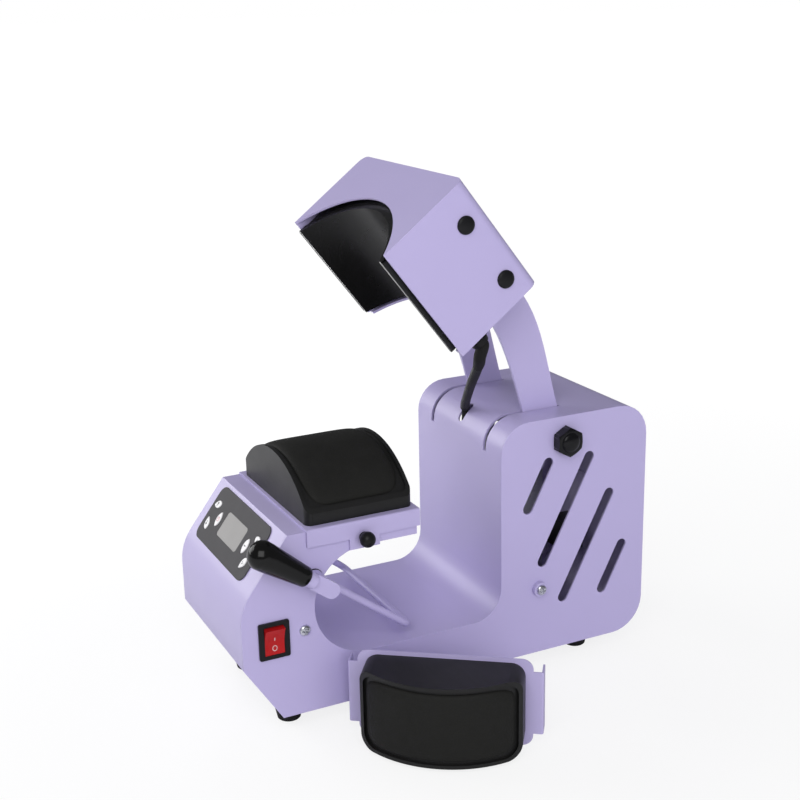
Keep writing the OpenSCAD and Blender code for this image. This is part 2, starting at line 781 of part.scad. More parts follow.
// A round bar from the axle's point p outwards at angle a in the side view
module spoke(x, p, a, s0, s1, r1, r2) {
    translate([x, p[0], p[1]]) rotate([a, 0, 0]) translate([0, s0, 0]) rotate([-90, 0, 0])
        cylinder(r1 = r1, r2 = r2, h = s1 - s0, $fn = 48);
}

bail_spot = [bail_y, bail_h];
bail_bend = 8;
bail_pin_r = bail_r + 1;
lever_x = half_w + lever_off;

module bail_rod() {
    color(lilac) machine() {
        bar(bail_spot, bail_pin_r, -half_w - 3, lever_x - 2.5);
        translate([0, bail_y, bail_h]) rotate([-bail_a, 0, 0]) {
            for (side = [-1, 1]) translate([side * bail_x, 0, 0]) rotate([-90, 0, 0])
                cylinder(r = bail_r, h = bail_len - bail_bend, $fn = 32);
            translate([-bail_x + bail_bend, bail_len, 0]) rotate([0, 90, 0])
                cylinder(r = bail_r, h = 2 * (bail_x - bail_bend), $fn = 32);
            translate([bail_x - bail_bend, bail_len - bail_bend, 0])
                rotate_extrude(angle = 90, $fn = 64) translate([bail_bend, 0]) circle(r = bail_r, $fn = 32);
            translate([-bail_x + bail_bend, bail_len - bail_bend, 0]) rotate([0, 0, 90])
                rotate_extrude(angle = 90, $fn = 64) translate([bail_bend, 0]) circle(r = bail_r, $fn = 32);
        }
    }
}

// The lever's flat eye, its boss towards the plate and the round collar of the grip
module bail_lever() {
    color(lilac) machine() {
        translate([lever_x, bail_y, bail_h]) rotate([180 - lever_a, 0, 0]) {
            translate([-2.5, -9, -6.5]) cube([5, 18, 13]);
            translate([-2.5, -9, 0]) rotate([0, 90, 0]) cylinder(r = 6.5, h = 5, $fn = 48);
            translate([0, 8, 0]) rotate([-90, 0, 0]) cylinder(r = 6.2, h = 7.8, $fn = 48);
        }
        tube(bail_spot, bail_pin_r + snug, 7, half_w + 1.5, lever_x - 2);
    }
}

module bail_grip() {
    color(black) machine() translate([lever_x, bail_y, bail_h]) rotate([180 - lever_a, 0, 0])
        translate([0, 15.8, 0]) rotate([-90, 0, 0]) rotate_extrude($fn = round_fn)
            polygon(concat([[0, 0], [grip_r * 0.62, 0], [grip_r * 0.68, 1.2]],
                [[grip_r * 0.97, grip_len * 0.8]],
                arc([0, grip_len - grip_r * 0.55], grip_r, 12, 88, 8), [[0, grip_len + grip_r * 0.45]]));
}

// A platen: a round-cornered block under an arch, with a sunk bed for its pad
module platen(w, l, h, r, c) {
    difference() {
        intersection() {
            rounded_block(w, l, c, h + 1);
            translate([0, l, h - r]) rotate([90, 0, 0]) cylinder(r = r, h = 2 * l, $fn = 180);
        }
        difference() {
            rounded_block(w - 2 * (pad_inset - groove_w), l - 2 * (pad_inset - groove_w), c - 1,
                h + 9);
            translate([0, l, h - r]) rotate([90, 0, 0])
                cylinder(r = r - pad_t + pad_proud, h = 2 * l, $fn = 180);
        }
        for (s = bolt_spots(w, l)) translate([s[0], s[1], -1])
            cylinder(r = screw_r + snug, h = 11, $fn = 32);
    }
}

module pad(w, l, h, r, c) {
    intersection() {
        rounded_block(w - 2 * pad_inset, l - 2 * pad_inset, c - 2, h + 9);
        difference() {
            translate([0, l, h - r]) rotate([90, 0, 0]) cylinder(r = r + pad_proud, h = 2 * l, $fn = 180);
            translate([0, l + 1, h - r]) rotate([90, 0, 0])
                cylinder(r = r - pad_t + pad_proud, h = 2 * l + 2, $fn = 180);
        }
    }
}

function bolt_spots(w, l) = [for (x = [-1, 1], y = [-1, 1])
    [x * (w / 2 - bolt_in[0]), y * (l / 2 - bolt_in[1])]];

module bolts(w, l) {
    for (s = bolt_spots(w, l)) translate([s[0], s[1], -tray_t]) rotate([180, 0, 0]) pan_screw(10);
}

tray_gap = 0.4;
tray_half = half_w + tray_gap + tray_t;
tray_bend = tray_t + 0.4 * tray_gap;
knob_spot = [tray_y - 1, deck_h - 12.5];
thread_r = 3;

// The tray folds down outside both side plates and has a deep tab in each flange's middle
module tray_sheet(len, drop) {
    out = concat([[-tray_half, -drop]],
        arc([-tray_half + tray_bend, tray_t - tray_bend], tray_bend, 180, 90, 4),
        arc([tray_half - tray_bend, tray_t - tray_bend], tray_bend, 90, 0, 4), [[tray_half, -drop]]);
    along(-len / 2, len / 2) polygon(concat(out, backwards(beside(out, tray_t))));
}

module tray() {
    color(lilac) machine() translate([0, tray_y, deck_h]) difference() {
        tray_sheet(tray_len, tab_h);
        for (side = [-1, 1], end = [-1, 1])
            translate([side * tray_half - 5, end > 0 ? tab_len / 2 : -tray_len, -tab_h - 1])
                cube([10, tray_len - tab_len / 2, tab_h + 1 - flange_h + tray_t]);
        for (s = bolt_spots(platen_w, platen_len)) translate([s[0], s[1], -5])
            cylinder(r = screw_r + snug, h = 12, $fn = 32);
        bar([knob_spot[0] - tray_y, knob_spot[1] - deck_h], thread_r + run, tray_half - 5, tray_half + 5);
    }
}

module platen_body() {
    color(black) machine() translate([0, tray_y, deck_h + tray_t]) platen(platen_w, platen_len, platen_h,
        platen_r, corner_r);
}

module platen_pad() {
    color("#262627") machine() translate([0, tray_y, deck_h + tray_t]) pad(platen_w, platen_len, platen_h,
        platen_r, corner_r);
}

module platen_bolts() {
    color(steel) machine() translate([0, tray_y, deck_h + tray_t]) bolts(platen_w, platen_len);
}

// A ball on a short neck, with the screw that bears on the side plate
module clamp_knob() {
    color(black) machine() translate([0, knob_spot[0], knob_spot[1]]) rotate([0, 90, 0]) {
        translate([0, 0, half_w + 0.3]) cylinder(r = thread_r, h = tray_t + 4, $fn = 48);
        translate([0, 0, tray_half + 0.3]) cylinder(r = 4.2, h = 2.2, $fn = 48);
        translate([0, 0, tray_half + ball_r + 1]) sphere(r = ball_r, $fn = 48);
    }
}

// The spare stands on one long edge, its pad turned to the front right
module spare_place() {
    translate([spare_x, spare_y, -foot_h + spare_tray_len / 2]) rotate([0, 0, spare_turn])
        rotate([90, 0, 0]) children();
}

spare_rim = 6;
module spare_tray() {
    color(lilac) machine() spare_place() translate([0, 0, -tray_t]) difference() {
        union() {
            tray_sheet(spare_tab_len, flange_h - tray_t);
            rounded_block(spare_w + 2 * spare_rim, spare_tray_len, spare_corner_r - 2, tray_t);
        }
        for (s = bolt_spots(spare_w, spare_len)) translate([s[0], s[1], -5])
            cylinder(r = screw_r + snug, h = 12, $fn = 32);
    }
}

module spare_body() {
    color(black) machine() spare_place() platen(spare_w, spare_len, spare_h, spare_r, spare_corner_r);
}

module spare_pad() {
    color("#262627") machine() spare_place() pad(spare_w, spare_len, spare_h, spare_r, spare_corner_r);
}

module spare_bolts() {
    color(steel) machine() spare_place() bolts(spare_w, spare_len);
}

// Curved beam from the head's bars back to the axle, drawn with the head closed
arm_front = bar_ys[0] - 12;
arm_top = concat([[arm_front, bar_h - 11], [arm_front, bar_h + 12]],
    curve([rear_plate_y, bar_h + 15], [rear_plate_y + 47, bar_h + 23.3],
        [axle_y - 59.3, axle_h + 38.5], [axle_y - 4.5, axle_h + hub_r - 0.4], 12));
arm_low = concat(curve([axle_y - 10.5, axle_h - 15.5], [axle_y - 46.5, axle_h - 1.5],
    [rear_plate_y + 44, bar_h - 16.5], [rear_plate_y + 4, bar_h - 18], 12),
    [[rear_plate_y - 3, bar_h - 11]]);
tie_spot = [axle_y + tie_at[0] * cos(tie_at[1]), axle_h + tie_at[0] * sin(tie_at[1])];

module arm() {
    difference() {
        union() {
            across(-arm_t / 2, arm_t / 2) polygon(concat(arm_top, arm_low));
            bar(axle_spot, hub_r, -arm_t / 2, arm_t / 2);
            bar(tie_spot, 9, -arm_t / 2, arm_t / 2);
            translate([-arm_t / 2, axle_y, axle_h]) rotate([tie_at[1], 0, 0])
                translate([0, 0, -9]) cube([arm_t, tie_at[0], 18]);
        }
        bar(axle_spot, bush_r + snug, -arm_t, arm_t);
        bar(tie_spot, tie_r + snug, -arm_t, arm_t);
        for (y = bar_ys) bar([y, bar_h], bar_r + snug, -arm_t, arm_t);
    }
}

module arm_right() {
    color(lilac) machine() swung() translate([arm_x, 0, 0]) arm();
}

module arm_left() {
    color(lilac) machine() swung() translate([-arm_x, 0, 0]) arm();
}

// Tube welded between the arms, which turns on the two bushes
module hub_tube() {
    color(steel) machine() tube(axle_spot, bush_r + snug, bush_r + 3, -arm_x + arm_t / 2, arm_x - arm_t / 2);
}

module arm_bushes() {
    color("#C9A35A") machine() for (side = [0, 1]) mirror([side, 0, 0]) difference() {
        union() {
            bar(axle_spot, bush_r, arm_out - bush_len, arm_out);
            bar(axle_spot, bush_r + 4, arm_out, arm_out + bush_flange);
        }
        bar(axle_spot, axle_r + run, arm_out - bush_len - 1, arm_out + bush_flange + 1);
    }
}

module arm_tie() {
    color(steel) machine() swung() bar(tie_spot, tie_r, -arm_out, arm_out);
}

// Toothed sector on the hub tube, in mesh with the pinion below it
tooth_tip = 0.8 * tooth_m;
tooth_root = 1.25 * tooth_m;
tooth_slack = 0.25;
module drive_sector() {
    pitch_a = 360 / sector_teeth;
    count = round(swing_a / pitch_a) + 5;
    start = -90 + pitch_a * (2.5 - count);
    rim = sector_r - tooth_root;
    color(steel) machine() difference() {
        union() {
            bar(axle_spot, bush_r + 9, -sector_t / 2, sector_t / 2);
            across(-sector_t / 2, sector_t / 2) translate(axle_spot) {
                polygon(concat([[0, 0]],
                    arc([0, 0], rim + 0.4, start - 4, start + pitch_a * (count - 1) + 4, 16)));
                for (i = [0:count - 1])
                    polygon(polar(tooth(sector_r, sector_teeth, sector_r + tooth_tip, rim, tooth_slack),
                        start + i * pitch_a));
            }
        }
        bar(axle_spot, bush_r + 3 + snug, -sector_t, sector_t);
        swung() bar(tie_spot, tie_r + snug, -sector_t, sector_t);
    }
}

module drive_pinion() {
    rim = pinion_r - tooth_root;
    color(steel) machine() {
        across(-sector_t / 2 - 1, sector_t / 2 + 1) translate([axle_y, pinion_h]) {
            circle(r = rim + 0.3, $fn = 48);
            for (i = [0:pinion_teeth - 1])
                polygon(polar(tooth(pinion_r, pinion_teeth, pinion_r + tooth_tip, rim, 0.8),
                    90 + i * 360 / pinion_teeth));
        }
        bar([axle_y, pinion_h], 4, gear_x0 + 4, -sector_t / 2);
    }
}

function shell_outline(inset) = let (w = head_w / 2 - inset, r = head_r - inset, t = head_top - inset)
    concat([[-w, head_low - 1]], arc([-w + r, t - r], r, 180, 90, 5), arc([w - r, t - r], r, 90, 0, 5),
        [[w, head_low - 1]]);

// Folded cover: front, top and two sides, open below and behind
module head_shell() {
    color(lilac) machine() swung() difference() {
        along(head_y, head_y + head_len) polygon(shell_outline(0));
        along(head_y + sheet_t, head_y + head_len + 1) polygon(shell_outline(sheet_t));
        translate([-head_w, head_y - 1, head_low - 5]) cube([2 * head_w, head_len + 2, 5]);
        translate([0, head_y + sheet_t + 1, arch_h - 6]) rotate([90, 0, 0])
            cylinder(r = head_arch_r, h = sheet_t + 4, $fn = 180);
        for (y = bar_ys) bar([y, bar_h], 4, -head_w, head_w);
    }
}

module head_rear_plate() {
    w = head_w / 2 - sheet_t;
    color(lilac) machine() swung() difference() {
        translate([-w, rear_plate_y, head_low + 1])
            cube([2 * w, sheet_t, head_top - sheet_t - head_r - head_low]);
        for (x = [-arm_x, arm_x]) translate([x - slot_w / 2, rear_plate_y - 1, bar_h - 21.5])
            cube([slot_w, sheet_t + 2, 2 * bar_drop + 20]);
        arch_cylinder(heater_r + 1.5, rear_plate_y - 1, head_y + head_len + 1);
        translate([gland_x, rear_plate_y - 1, gland_h]) rotate([-90, 0, 0])
            cylinder(r = cable_r + 1.3, h = sheet_t + 2, $fn = 32);
    }
}

module head_bars() {
    color(steel) machine() swung() for (y = bar_ys)
        bar([y, bar_h], bar_r, -head_w / 2 + sheet_t, head_w / 2 - sheet_t);
}

// Domed plastic caps over the ends of the head's bars
module head_caps() {
    color(black) machine() swung() for (y = bar_ys, side = [-1, 1])
        translate([side * head_w / 2, y, bar_h]) rotate([0, side * 90, 0]) {
            rotate_extrude($fn = 48) polygon(concat([[0, 0], [cap_r, 0], [cap_r, 1]],
                [for (i = [1:5]) [cap_r * cos(15 * i), 1 + 2.2 * sin(15 * i)]], [[0, 3.2]]));
            translate([0, 0, -sheet_t + 0.1]) cylinder(r = 3.9, h = sheet_t, $fn = 32);
        }
}

module arch_cylinder(r, y0, y1) {
    translate([0, y1, arch_h]) rotate([90, 0, 0]) cylinder(r = r, h = y1 - y0, $fn = 180);
}

module heater_plate() {
    color(black) machine() swung() intersection() {
        difference() {
            arch_cylinder(heater_r + heater_t, heater_y, heater_y + heater_len);
            arch_cylinder(heater_r, heater_y - 1, heater_y + heater_len + 1);
        }
        translate([-heater_half + box_t + 0.2, heater_y - 1, heater_low])
            cube([2 * (heater_half - box_t - 0.2), heater_len + 2, 80]);
    }
}

stud_spots = [for (x = [-stud_x, stud_x], y = bar_ys) [x, y]];

box_y0 = heater_y + 1.5;
box_y1 = heater_y + heater_len - 1.5;
back_r = heater_r + heater_t;

// Box over the heater plate's back, with the studs that hang both from the bars
module heater_box() {
    color("#222224") machine() swung() difference() {
        translate([-heater_half, box_y0, box_low])
            cube([2 * heater_half, box_y1 - box_y0, box_top - box_low]);
        translate([-heater_half + box_t, box_y0 + box_t, box_low - 1])
            cube([2 * (heater_half - box_t), box_y1 - box_y0 - 2 * box_t, box_top - box_t - box_low + 1]);
        intersection() {
            arch_cylinder(back_r + 0.3, box_y0 - 1, box_y1 + 1);
            translate([-heater_half + box_t, box_y0 - 1, box_low - 1])
                cube([2 * (heater_half - box_t), box_y1 - box_y0 + 2, 80]);
        }
        for (s = stud_spots) translate([s[0], s[1], box_top - 5])
            cylinder(r = stud_r + snug, h = 9, $fn = 32);
    }
    color(steel) machine() swung() for (s = stud_spots) difference() {
        union() {
            translate([s[0], s[1], arch_h]) cylinder(r = stud_r, h = bar_h - arch_h, $fn = 32);
            translate([s[0], s[1], box_top + 0.2]) cylinder(r = stud_r + 3, h = 3, $fn = 32);
        }
        arch_cylinder(back_r, box_y0, box_y1);
        bar([s[1], bar_h], bar_r, -head_w, head_w);
    }
}

// Curved heating mat on the plate's back, open round the studs
module heater_element() {
    color("silver") machine() swung() intersection() {
        difference() {
            arch_cylinder(back_r + 1.6, box_y0 + 6, box_y1 - 6);
            arch_cylinder(back_r, box_y0, box_y1);
            for (s = stud_spots) translate([s[0], s[1], arch_h])
                cylinder(r = stud_r + 1, h = 2 * back_r, $fn = 32);
        }
        translate([-stud_x - 28, box_y0, arch_h]) cube([2 * (stud_x + 28), box_y1 - box_y0, 2 * back_r]);
    }
}

module cable_gland() {
    color(black) machine() swung() translate([gland_x, rear_plate_y + sheet_t, gland_h])
        rotate([-90, 0, 0]) {
            cylinder(r = gland_r, h = 6, $fn = 6);
            translate([0, 0, 5]) cylinder(r1 = gland_r - 1.2, r2 = gland_r - 2, h = gland_len - 5, $fn = 48);
            translate([0, 0, -sheet_t - 3]) cylinder(r = cable_r + 1.2, h = sheet_t + 4, $fn = 32);
        }
}

side_plate_right();
side_plate_left();
front_cover();
spine_sheet();
rear_panel();
rear_cover();
base_plate();
feet();
case_screws();
cross_struts();
screw_collars();
pivot_axle();
axle_nuts();
axle_spacers();
gearmotor();
motor_bracket();
terminal_block();
bail_bushes();
panel_overlay();
display_window();
display_module();
control_board();
board_posts();
switch_bezel();
power_inlet();
head_cable();
button_up();
button_down();
button_clock();
button_plus();
button_minus();
button_start();
switch_rocker();
bail_rod();
bail_lever();
bail_grip();
tray();
platen_body();
platen_pad();
platen_bolts();
clamp_knob();
spare_tray();
spare_body();
spare_pad();
spare_bolts();
drive_pinion();
arm_right();
arm_left();
hub_tube();
arm_bushes();
arm_tie();
drive_sector();
head_shell();
head_rear_plate();
head_bars();
head_caps();
heater_plate();
heater_box();
heater_element();
cable_gland();
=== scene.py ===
"""Looks of the cap heat press: materials, refined pieces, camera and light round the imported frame.

Lengths are written in millimetres from the machine's front face, middle plane and plates' underside,
as they are in the solids' source, and at() turns them into the row's metres.
"""
import bmesh
import bpy
import numpy as np
from mathutils import Matrix, Vector


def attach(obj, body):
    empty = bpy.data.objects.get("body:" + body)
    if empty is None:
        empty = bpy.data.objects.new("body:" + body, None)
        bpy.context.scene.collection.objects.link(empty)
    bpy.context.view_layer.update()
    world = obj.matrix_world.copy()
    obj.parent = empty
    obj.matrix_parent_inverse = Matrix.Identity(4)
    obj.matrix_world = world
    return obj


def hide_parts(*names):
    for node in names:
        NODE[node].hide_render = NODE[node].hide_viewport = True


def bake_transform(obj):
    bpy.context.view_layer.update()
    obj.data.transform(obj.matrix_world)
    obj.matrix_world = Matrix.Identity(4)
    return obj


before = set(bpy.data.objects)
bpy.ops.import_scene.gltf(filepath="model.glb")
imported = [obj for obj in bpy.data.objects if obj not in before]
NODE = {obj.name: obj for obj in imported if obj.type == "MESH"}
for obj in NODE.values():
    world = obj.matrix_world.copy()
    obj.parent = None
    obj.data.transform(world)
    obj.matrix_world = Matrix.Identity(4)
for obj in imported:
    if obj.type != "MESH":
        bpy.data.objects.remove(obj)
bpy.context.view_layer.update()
TAU = 2 * np.pi
ROW_ORIGIN = (49.0, 45.0, -15.5)          # underside of the front right foot, in the machine's frame
CAD_WELD = 0.000004                       # metres within which a CAD node's points are one
SKIN_WELD = 0.000002                      # the same for a skin made here
THIN = 0.0000005                          # metres below which an edge of such a skin is dropped
CREASE = 40                               # degrees above which a CAD node's edge stays sharp


def at(p):
    """Machine millimetres to the row's metres: the origin moves to the front right foot."""
    return (np.asarray(p, float) - ROW_ORIGIN) / 1000.0


def feed(tree, node, sources):
    """Links a node's sockets to other nodes' outputs, or sets them where a plain value is given."""
    for socket, source in sources.items():
        if isinstance(source, bpy.types.NodeSocket):
            tree.links.new(source, node.inputs[socket])
        else:
            node.inputs[socket].default_value = source
    return node


def put(tree, kind, sources=None, **settings):
    """One shader node with its settings, its socket values and its incoming links."""
    node = tree.nodes.new("ShaderNode" + kind)
    for key, value in settings.items():
        setattr(node, key, value)
    return feed(tree, node, sources or {})


# camera, light and floor

CAMERA_SPOT = (0.9284, -0.3410, 0.5674)
CAMERA_TURN = (64.24, 16.90, -1.29)       # azimuth, elevation and roll in degrees
SENSOR_MM, LENS_MM = 36.0, 60.87


def aim_camera():
    """The camera that was fitted to the photograph."""
    az, el, roll = np.radians(CAMERA_TURN)
    ahead = np.array([-np.sin(az) * np.cos(el), np.cos(az) * np.cos(el), -np.sin(el)])
    level = np.array([np.cos(az), np.sin(az), 0.0])
    right = level * np.cos(roll) + np.cross(level, ahead) * np.sin(roll)
    up = np.cross(right, ahead)
    lens = bpy.data.cameras.new("photo_camera")
    lens.sensor_width = SENSOR_MM
    lens.lens = LENS_MM
    lens.clip_start = 0.02
    lens.clip_end = 80.0
    eye = bpy.data.objects.new("photo_camera", lens)
    turn = Matrix((right, up, -ahead)).transposed().to_4x4()
    eye.matrix_world = Matrix.Translation(CAMERA_SPOT) @ turn
    bpy.context.scene.collection.objects.link(eye)
    bpy.context.scene.camera = eye


def soft_lamp(name, spot, target, size, watts, mirrored=True):
    """A square area lamp that faces its target; a lamp behind cloth isn't mirrored in glossy pieces."""
    lamp = bpy.data.lights.new(name, "AREA")
    lamp.size = size
    lamp.energy = watts
    holder = bpy.data.objects.new(name, lamp)
    holder.visible_glossy = mirrored
    way = Vector(target) - Vector(spot)
    holder.matrix_world = Matrix.Translation(spot) @ way.to_track_quat("-Z", "Y").to_matrix().to_4x4()
    bpy.context.scene.collection.objects.link(holder)


def glow_of(tree, colour, strength):
    """Output of an even background light."""
    return put(tree, "Background", {"Color": (*colour, 1), "Strength": strength}).outputs[0]


def pale_world():
    """Even pale light: white to the camera, dim in reflections, as in a photo tent with dark corners."""
    world = bpy.data.worlds.new("pale_room")
    bpy.context.scene.world = world
    world.use_nodes = True
    tree = world.node_tree
    tree.nodes.clear()
    seen = glow_of(tree, (1, 1, 1), 1.0)
    fill = glow_of(tree, (0.93, 0.94, 1.0), 0.36)
    mirrored = glow_of(tree, (0.95, 0.96, 1.0), 0.12)
    path = put(tree, "LightPath")
    ambient = put(tree, "MixShader", {"Fac": path.outputs["Is Glossy Ray"], 1: fill, 2: mirrored})
    mix = put(tree, "MixShader", {"Fac": path.outputs["Is Camera Ray"], 1: ambient.outputs[0], 2: seen})
    put(tree, "OutputWorld", {"Surface": mix.outputs[0]})


FLOOR_MIDDLE = (-0.05, 0.14)   # metres in the row's frame, as are the next two
FLOOR_REACH = 30.0
FLOOR_DROP = 0.0002            # below the feet, so that the two don't share a face


def pale_floor():
    """Wide disc on which the press stands, white to the camera except where the press shades it.

    The share of plain white rises from 0.8 within 0.3 m of the press to 1 from 1 m outwards.
    """
    x, y = FLOOR_MIDDLE
    ring = np.linspace(0, TAU, 96, endpoint=False)
    rim = np.c_[x + FLOOR_REACH * np.cos(ring), y + FLOOR_REACH * np.sin(ring),
                np.full(len(ring), -FLOOR_DROP)]
    mesh = bpy.data.meshes.new("floor")
    mesh.from_pydata(rim.tolist(), [], [list(range(len(ring)))])
    floor = bpy.data.objects.new("floor", mesh)
    bpy.context.scene.collection.objects.link(floor)
    mat = bpy.data.materials.new("pale_floor")
    mat.use_nodes = True
    tree = mat.node_tree
    tree.nodes.clear()
    matte = put(tree, "BsdfDiffuse", {"Color": (0.86, 0.86, 0.87, 1)})
    glow = put(tree, "Emission", {"Strength": 1.02})
    place = put(tree, "TexCoord")
    away = put(tree, "VectorMath", {0: place.outputs["Object"], 1: (x, y, 0.0)}, operation="DISTANCE")
    share = put(tree, "MapRange", {"Value": away.outputs["Value"], "From Min": 0.3, "From Max": 1.0,
                                   "To Min": 0.8, "To Max": 1.0})
    path = put(tree, "LightPath")
    part = put(tree, "Math", {0: path.outputs["Is Camera Ray"], 1: share.outputs[0]}, operation="MULTIPLY")
    mix = put(tree, "MixShader", {"Fac": part.outputs[0], 1: matte.outputs[0], 2: glow.outputs[0]})
    put(tree, "OutputMaterial", {"Surface": mix.outputs[0]})
    mesh.materials.append(mat)


bpy.context.scene.view_settings.view_transform = "Standard"
aim_camera()
pale_world()
pale_floor()
soft_lamp("window_right", (1.5, -0.9, 1.5), (0, 0.12, 0.15), 1.6, 24)
soft_lamp("window_left", (-1.3, -1.0, 0.8), (0, 0.1, 0.15), 1.2, 17.5)
soft_lamp("low_right", (1.9, 0.2, 0.5), (0, 0.12, 0.15), 1.2, 12, mirrored=False)
soft_lamp("through_throat", (-1.0, 0.27, 0.2), (0.0, 0.08, 0.05), 0.3, 5, mirrored=False)


# shared effects

def effect(name, ins, outs):
    """An empty shader node group with named sockets; returns its tree, input and output nodes."""
    tree = bpy.data.node_groups.new(name, "ShaderNodeTree")
    for label, kind, value in ins:
        socket = tree.interface.new_socket(name=label, in_out="INPUT", socket_type="NodeSocket" + kind)
        if value is not None:
            socket.default_value = value
    for label, kind in outs:
        tree.interface.new_socket(name=label, in_out="OUTPUT", socket_type="NodeSocket" + kind)
    return tree, tree.nodes.new("NodeGroupInput"), tree.nodes.new("NodeGroupOutput")


def tone_drift():
    """Slow change of brightness over a surface: the colour times one plus noise times Amount."""
    tree, i, o = effect("tone_drift", [("Color", "Color", None), ("Scale", "Float", 12.0),
                                       ("Amount", "Float", 0.05)], [("Color", "Color")])
    where = put(tree, "TexCoord").outputs["Object"]
    cloud = put(tree, "TexNoise", {"Vector": where, "Scale": i.outputs["Scale"], "Detail": 3.0})
    centred = put(tree, "Math", {0: cloud.outputs["Fac"], 1: 0.5}, operation="SUBTRACT")
    swing = put(tree, "Math", {0: centred.outputs[0], 1: i.outputs["Amount"]}, operation="MULTIPLY")
    gain = put(tree, "Math", {0: swing.outputs[0], 1: 1.0}, operation="ADD")
    out = put(tree, "VectorMath", {0: i.outputs["Color"], "Scale": gain.outputs[0]}, operation="SCALE")
    tree.links.new(out.outputs[0], o.inputs["Color"])
    return tree


def orange_peel():
    """Fine pebbled skin of powder coat or moulded plastic: a bump from noise of a given grain."""
    tree, i, o = effect("orange_peel", [("Scale", "Float", 900.0), ("Strength", "Float", 0.1),
                                        ("Depth", "Float", 0.0002)], [("Normal", "Vector")])
    where = put(tree, "TexCoord").outputs["Object"]
    fine = put(tree, "TexNoise", {"Vector": where, "Scale": i.outputs["Scale"], "Detail": 2.0})
    bump = put(tree, "Bump", {"Strength": i.outputs["Strength"], "Distance": i.outputs["Depth"],
                              "Height": fine.outputs["Fac"]})
    tree.links.new(bump.outputs["Normal"], o.inputs["Normal"])
    return tree


def dust_veil():
    """Thin dust on faces that look up: the face's own upward share times patchy noise."""
    tree, i, o = effect("dust_veil", [("Color", "Color", None), ("Dust", "Color", (0.6, 0.59, 0.58, 1)),
                                      ("Amount", "Float", 0.05)], [("Color", "Color")])
    place = put(tree, "TexCoord")
    upward = put(tree, "SeparateXYZ", {0: place.outputs["Normal"]})
    flat = put(tree, "MapRange", {"Value": upward.outputs["Z"], "From Min": 0.3, "From Max": 1.0})
    patch = put(tree, "TexNoise", {"Vector": place.outputs["Object"], "Scale": 55.0, "Detail": 6.0})
    lay = put(tree, "Math", {0: flat.outputs[0], 1: patch.outputs["Fac"]}, operation="MULTIPLY")
    mask = put(tree, "Math", {0: lay.outputs[0], 1: i.outputs["Amount"]}, operation="MULTIPLY")
    mixed = put(tree, "Mix", {0: mask.outputs[0], 6: i.outputs["Color"], 7: i.outputs["Dust"]},
                data_type="RGBA")
    tree.links.new(mixed.outputs[2], o.inputs["Color"])
    return tree


def handling():
    """Uneven gloss from hands and cloths: roughness plus stretched noise times Amount."""
    tree, i, o = effect("handling", [("Roughness", "Float", 0.4), ("Amount", "Float", 0.08),
                                     ("Scale", "Float", 40.0)], [("Roughness", "Float")])
    where = put(tree, "TexCoord").outputs["Object"]
    drawn = put(tree, "Mapping", {"Vector": where, "Rotation": (0.4, 0.7, 0.3), "Scale": (1.0, 3.5, 1.0)})
    smear = put(tree, "TexNoise", {"Vector": drawn.outputs[0], "Scale": i.outputs["Scale"], "Detail": 5.0,
                                   "Distortion": 0.6})
    centred = put(tree, "Math", {0: smear.outputs["Fac"], 1: 0.5}, operation="SUBTRACT")
    swing = put(tree, "Math", {0: centred.outputs[0], 1: i.outputs["Amount"]}, operation="MULTIPLY")
    rough = put(tree, "Math", {0: swing.outputs[0], 1: i.outputs["Roughness"]}, operation="ADD")
    tree.links.new(rough.outputs[0], o.inputs["Roughness"])
    return tree


def drawn_lines():
    """Fine parallel marks of turned or drawn metal: noise squeezed along one axis."""
    tree, i, o = effect("drawn_lines", [("Stretch", "Vector", (1, 30, 30)), ("Strength", "Float", 0.15)],
                        [("Normal", "Vector")])
    where = put(tree, "TexCoord").outputs["Object"]
    drawn = put(tree, "VectorMath", {0: where, 1: i.outputs["Stretch"]}, operation="MULTIPLY")
    lines = put(tree, "TexNoise", {"Vector": drawn.outputs[0], "Scale": 120.0, "Detail": 4.0})
    bump = put(tree, "Bump", {"Strength": i.outputs["Strength"], "Distance": 0.0001,
                              "Height": lines.outputs["Fac"]})
    tree.links.new(bump.outputs["Normal"], o.inputs["Normal"])
    return tree


TONE, PEEL, DUST, HANDLING, LINES = tone_drift(), orange_peel(), dust_veil(), handling(), drawn_lines()


def use(tree, group, sources):
    """A shared effect placed in a material with its own values."""
    node = tree.nodes.new("ShaderNodeGroup")
    node.node_tree = group
    return feed(tree, node, sources)


def finish_of(name, colour, rough, *, metal=0.0, grain=900.0, grain_strength=0.1, depth=0.0002, drift=0.06,
              drift_scale=12.0, dust=0.04, smear=0.08, lines=None, **shader):
    """A finish: drifting colour under thin dust, uneven gloss and a grained or drawn surface."""
    mat = bpy.data.materials.new(name)
    mat.use_nodes = True
    tree = mat.node_tree
    bsdf = tree.nodes["Principled BSDF"]
    tone = use(tree, TONE, {"Color": (*colour, 1), "Scale": drift_scale, "Amount": drift})
    veil = use(tree, DUST, {"Color": tone.outputs["Color"], "Amount": dust})
    tree.links.new(veil.outputs["Color"], bsdf.inputs["Base Color"])
    gloss = use(tree, HANDLING, {"Roughness": rough, "Amount": smear})
    tree.links.new(gloss.outputs["Roughness"], bsdf.inputs["Roughness"])
    bsdf.inputs["Metallic"].default_value = metal
    if lines:
        skin = use(tree, LINES, {"Stretch": lines, "Strength": grain_strength})
    else:
        skin = use(tree, PEEL, {"Scale": grain, "Strength": grain_strength, "Depth": depth})
    tree.links.new(skin.outputs["Normal"], bsdf.inputs["Normal"])
    for socket, value in shader.items():
        bsdf.inputs[socket.replace("_", " ")].default_value = value
    return mat


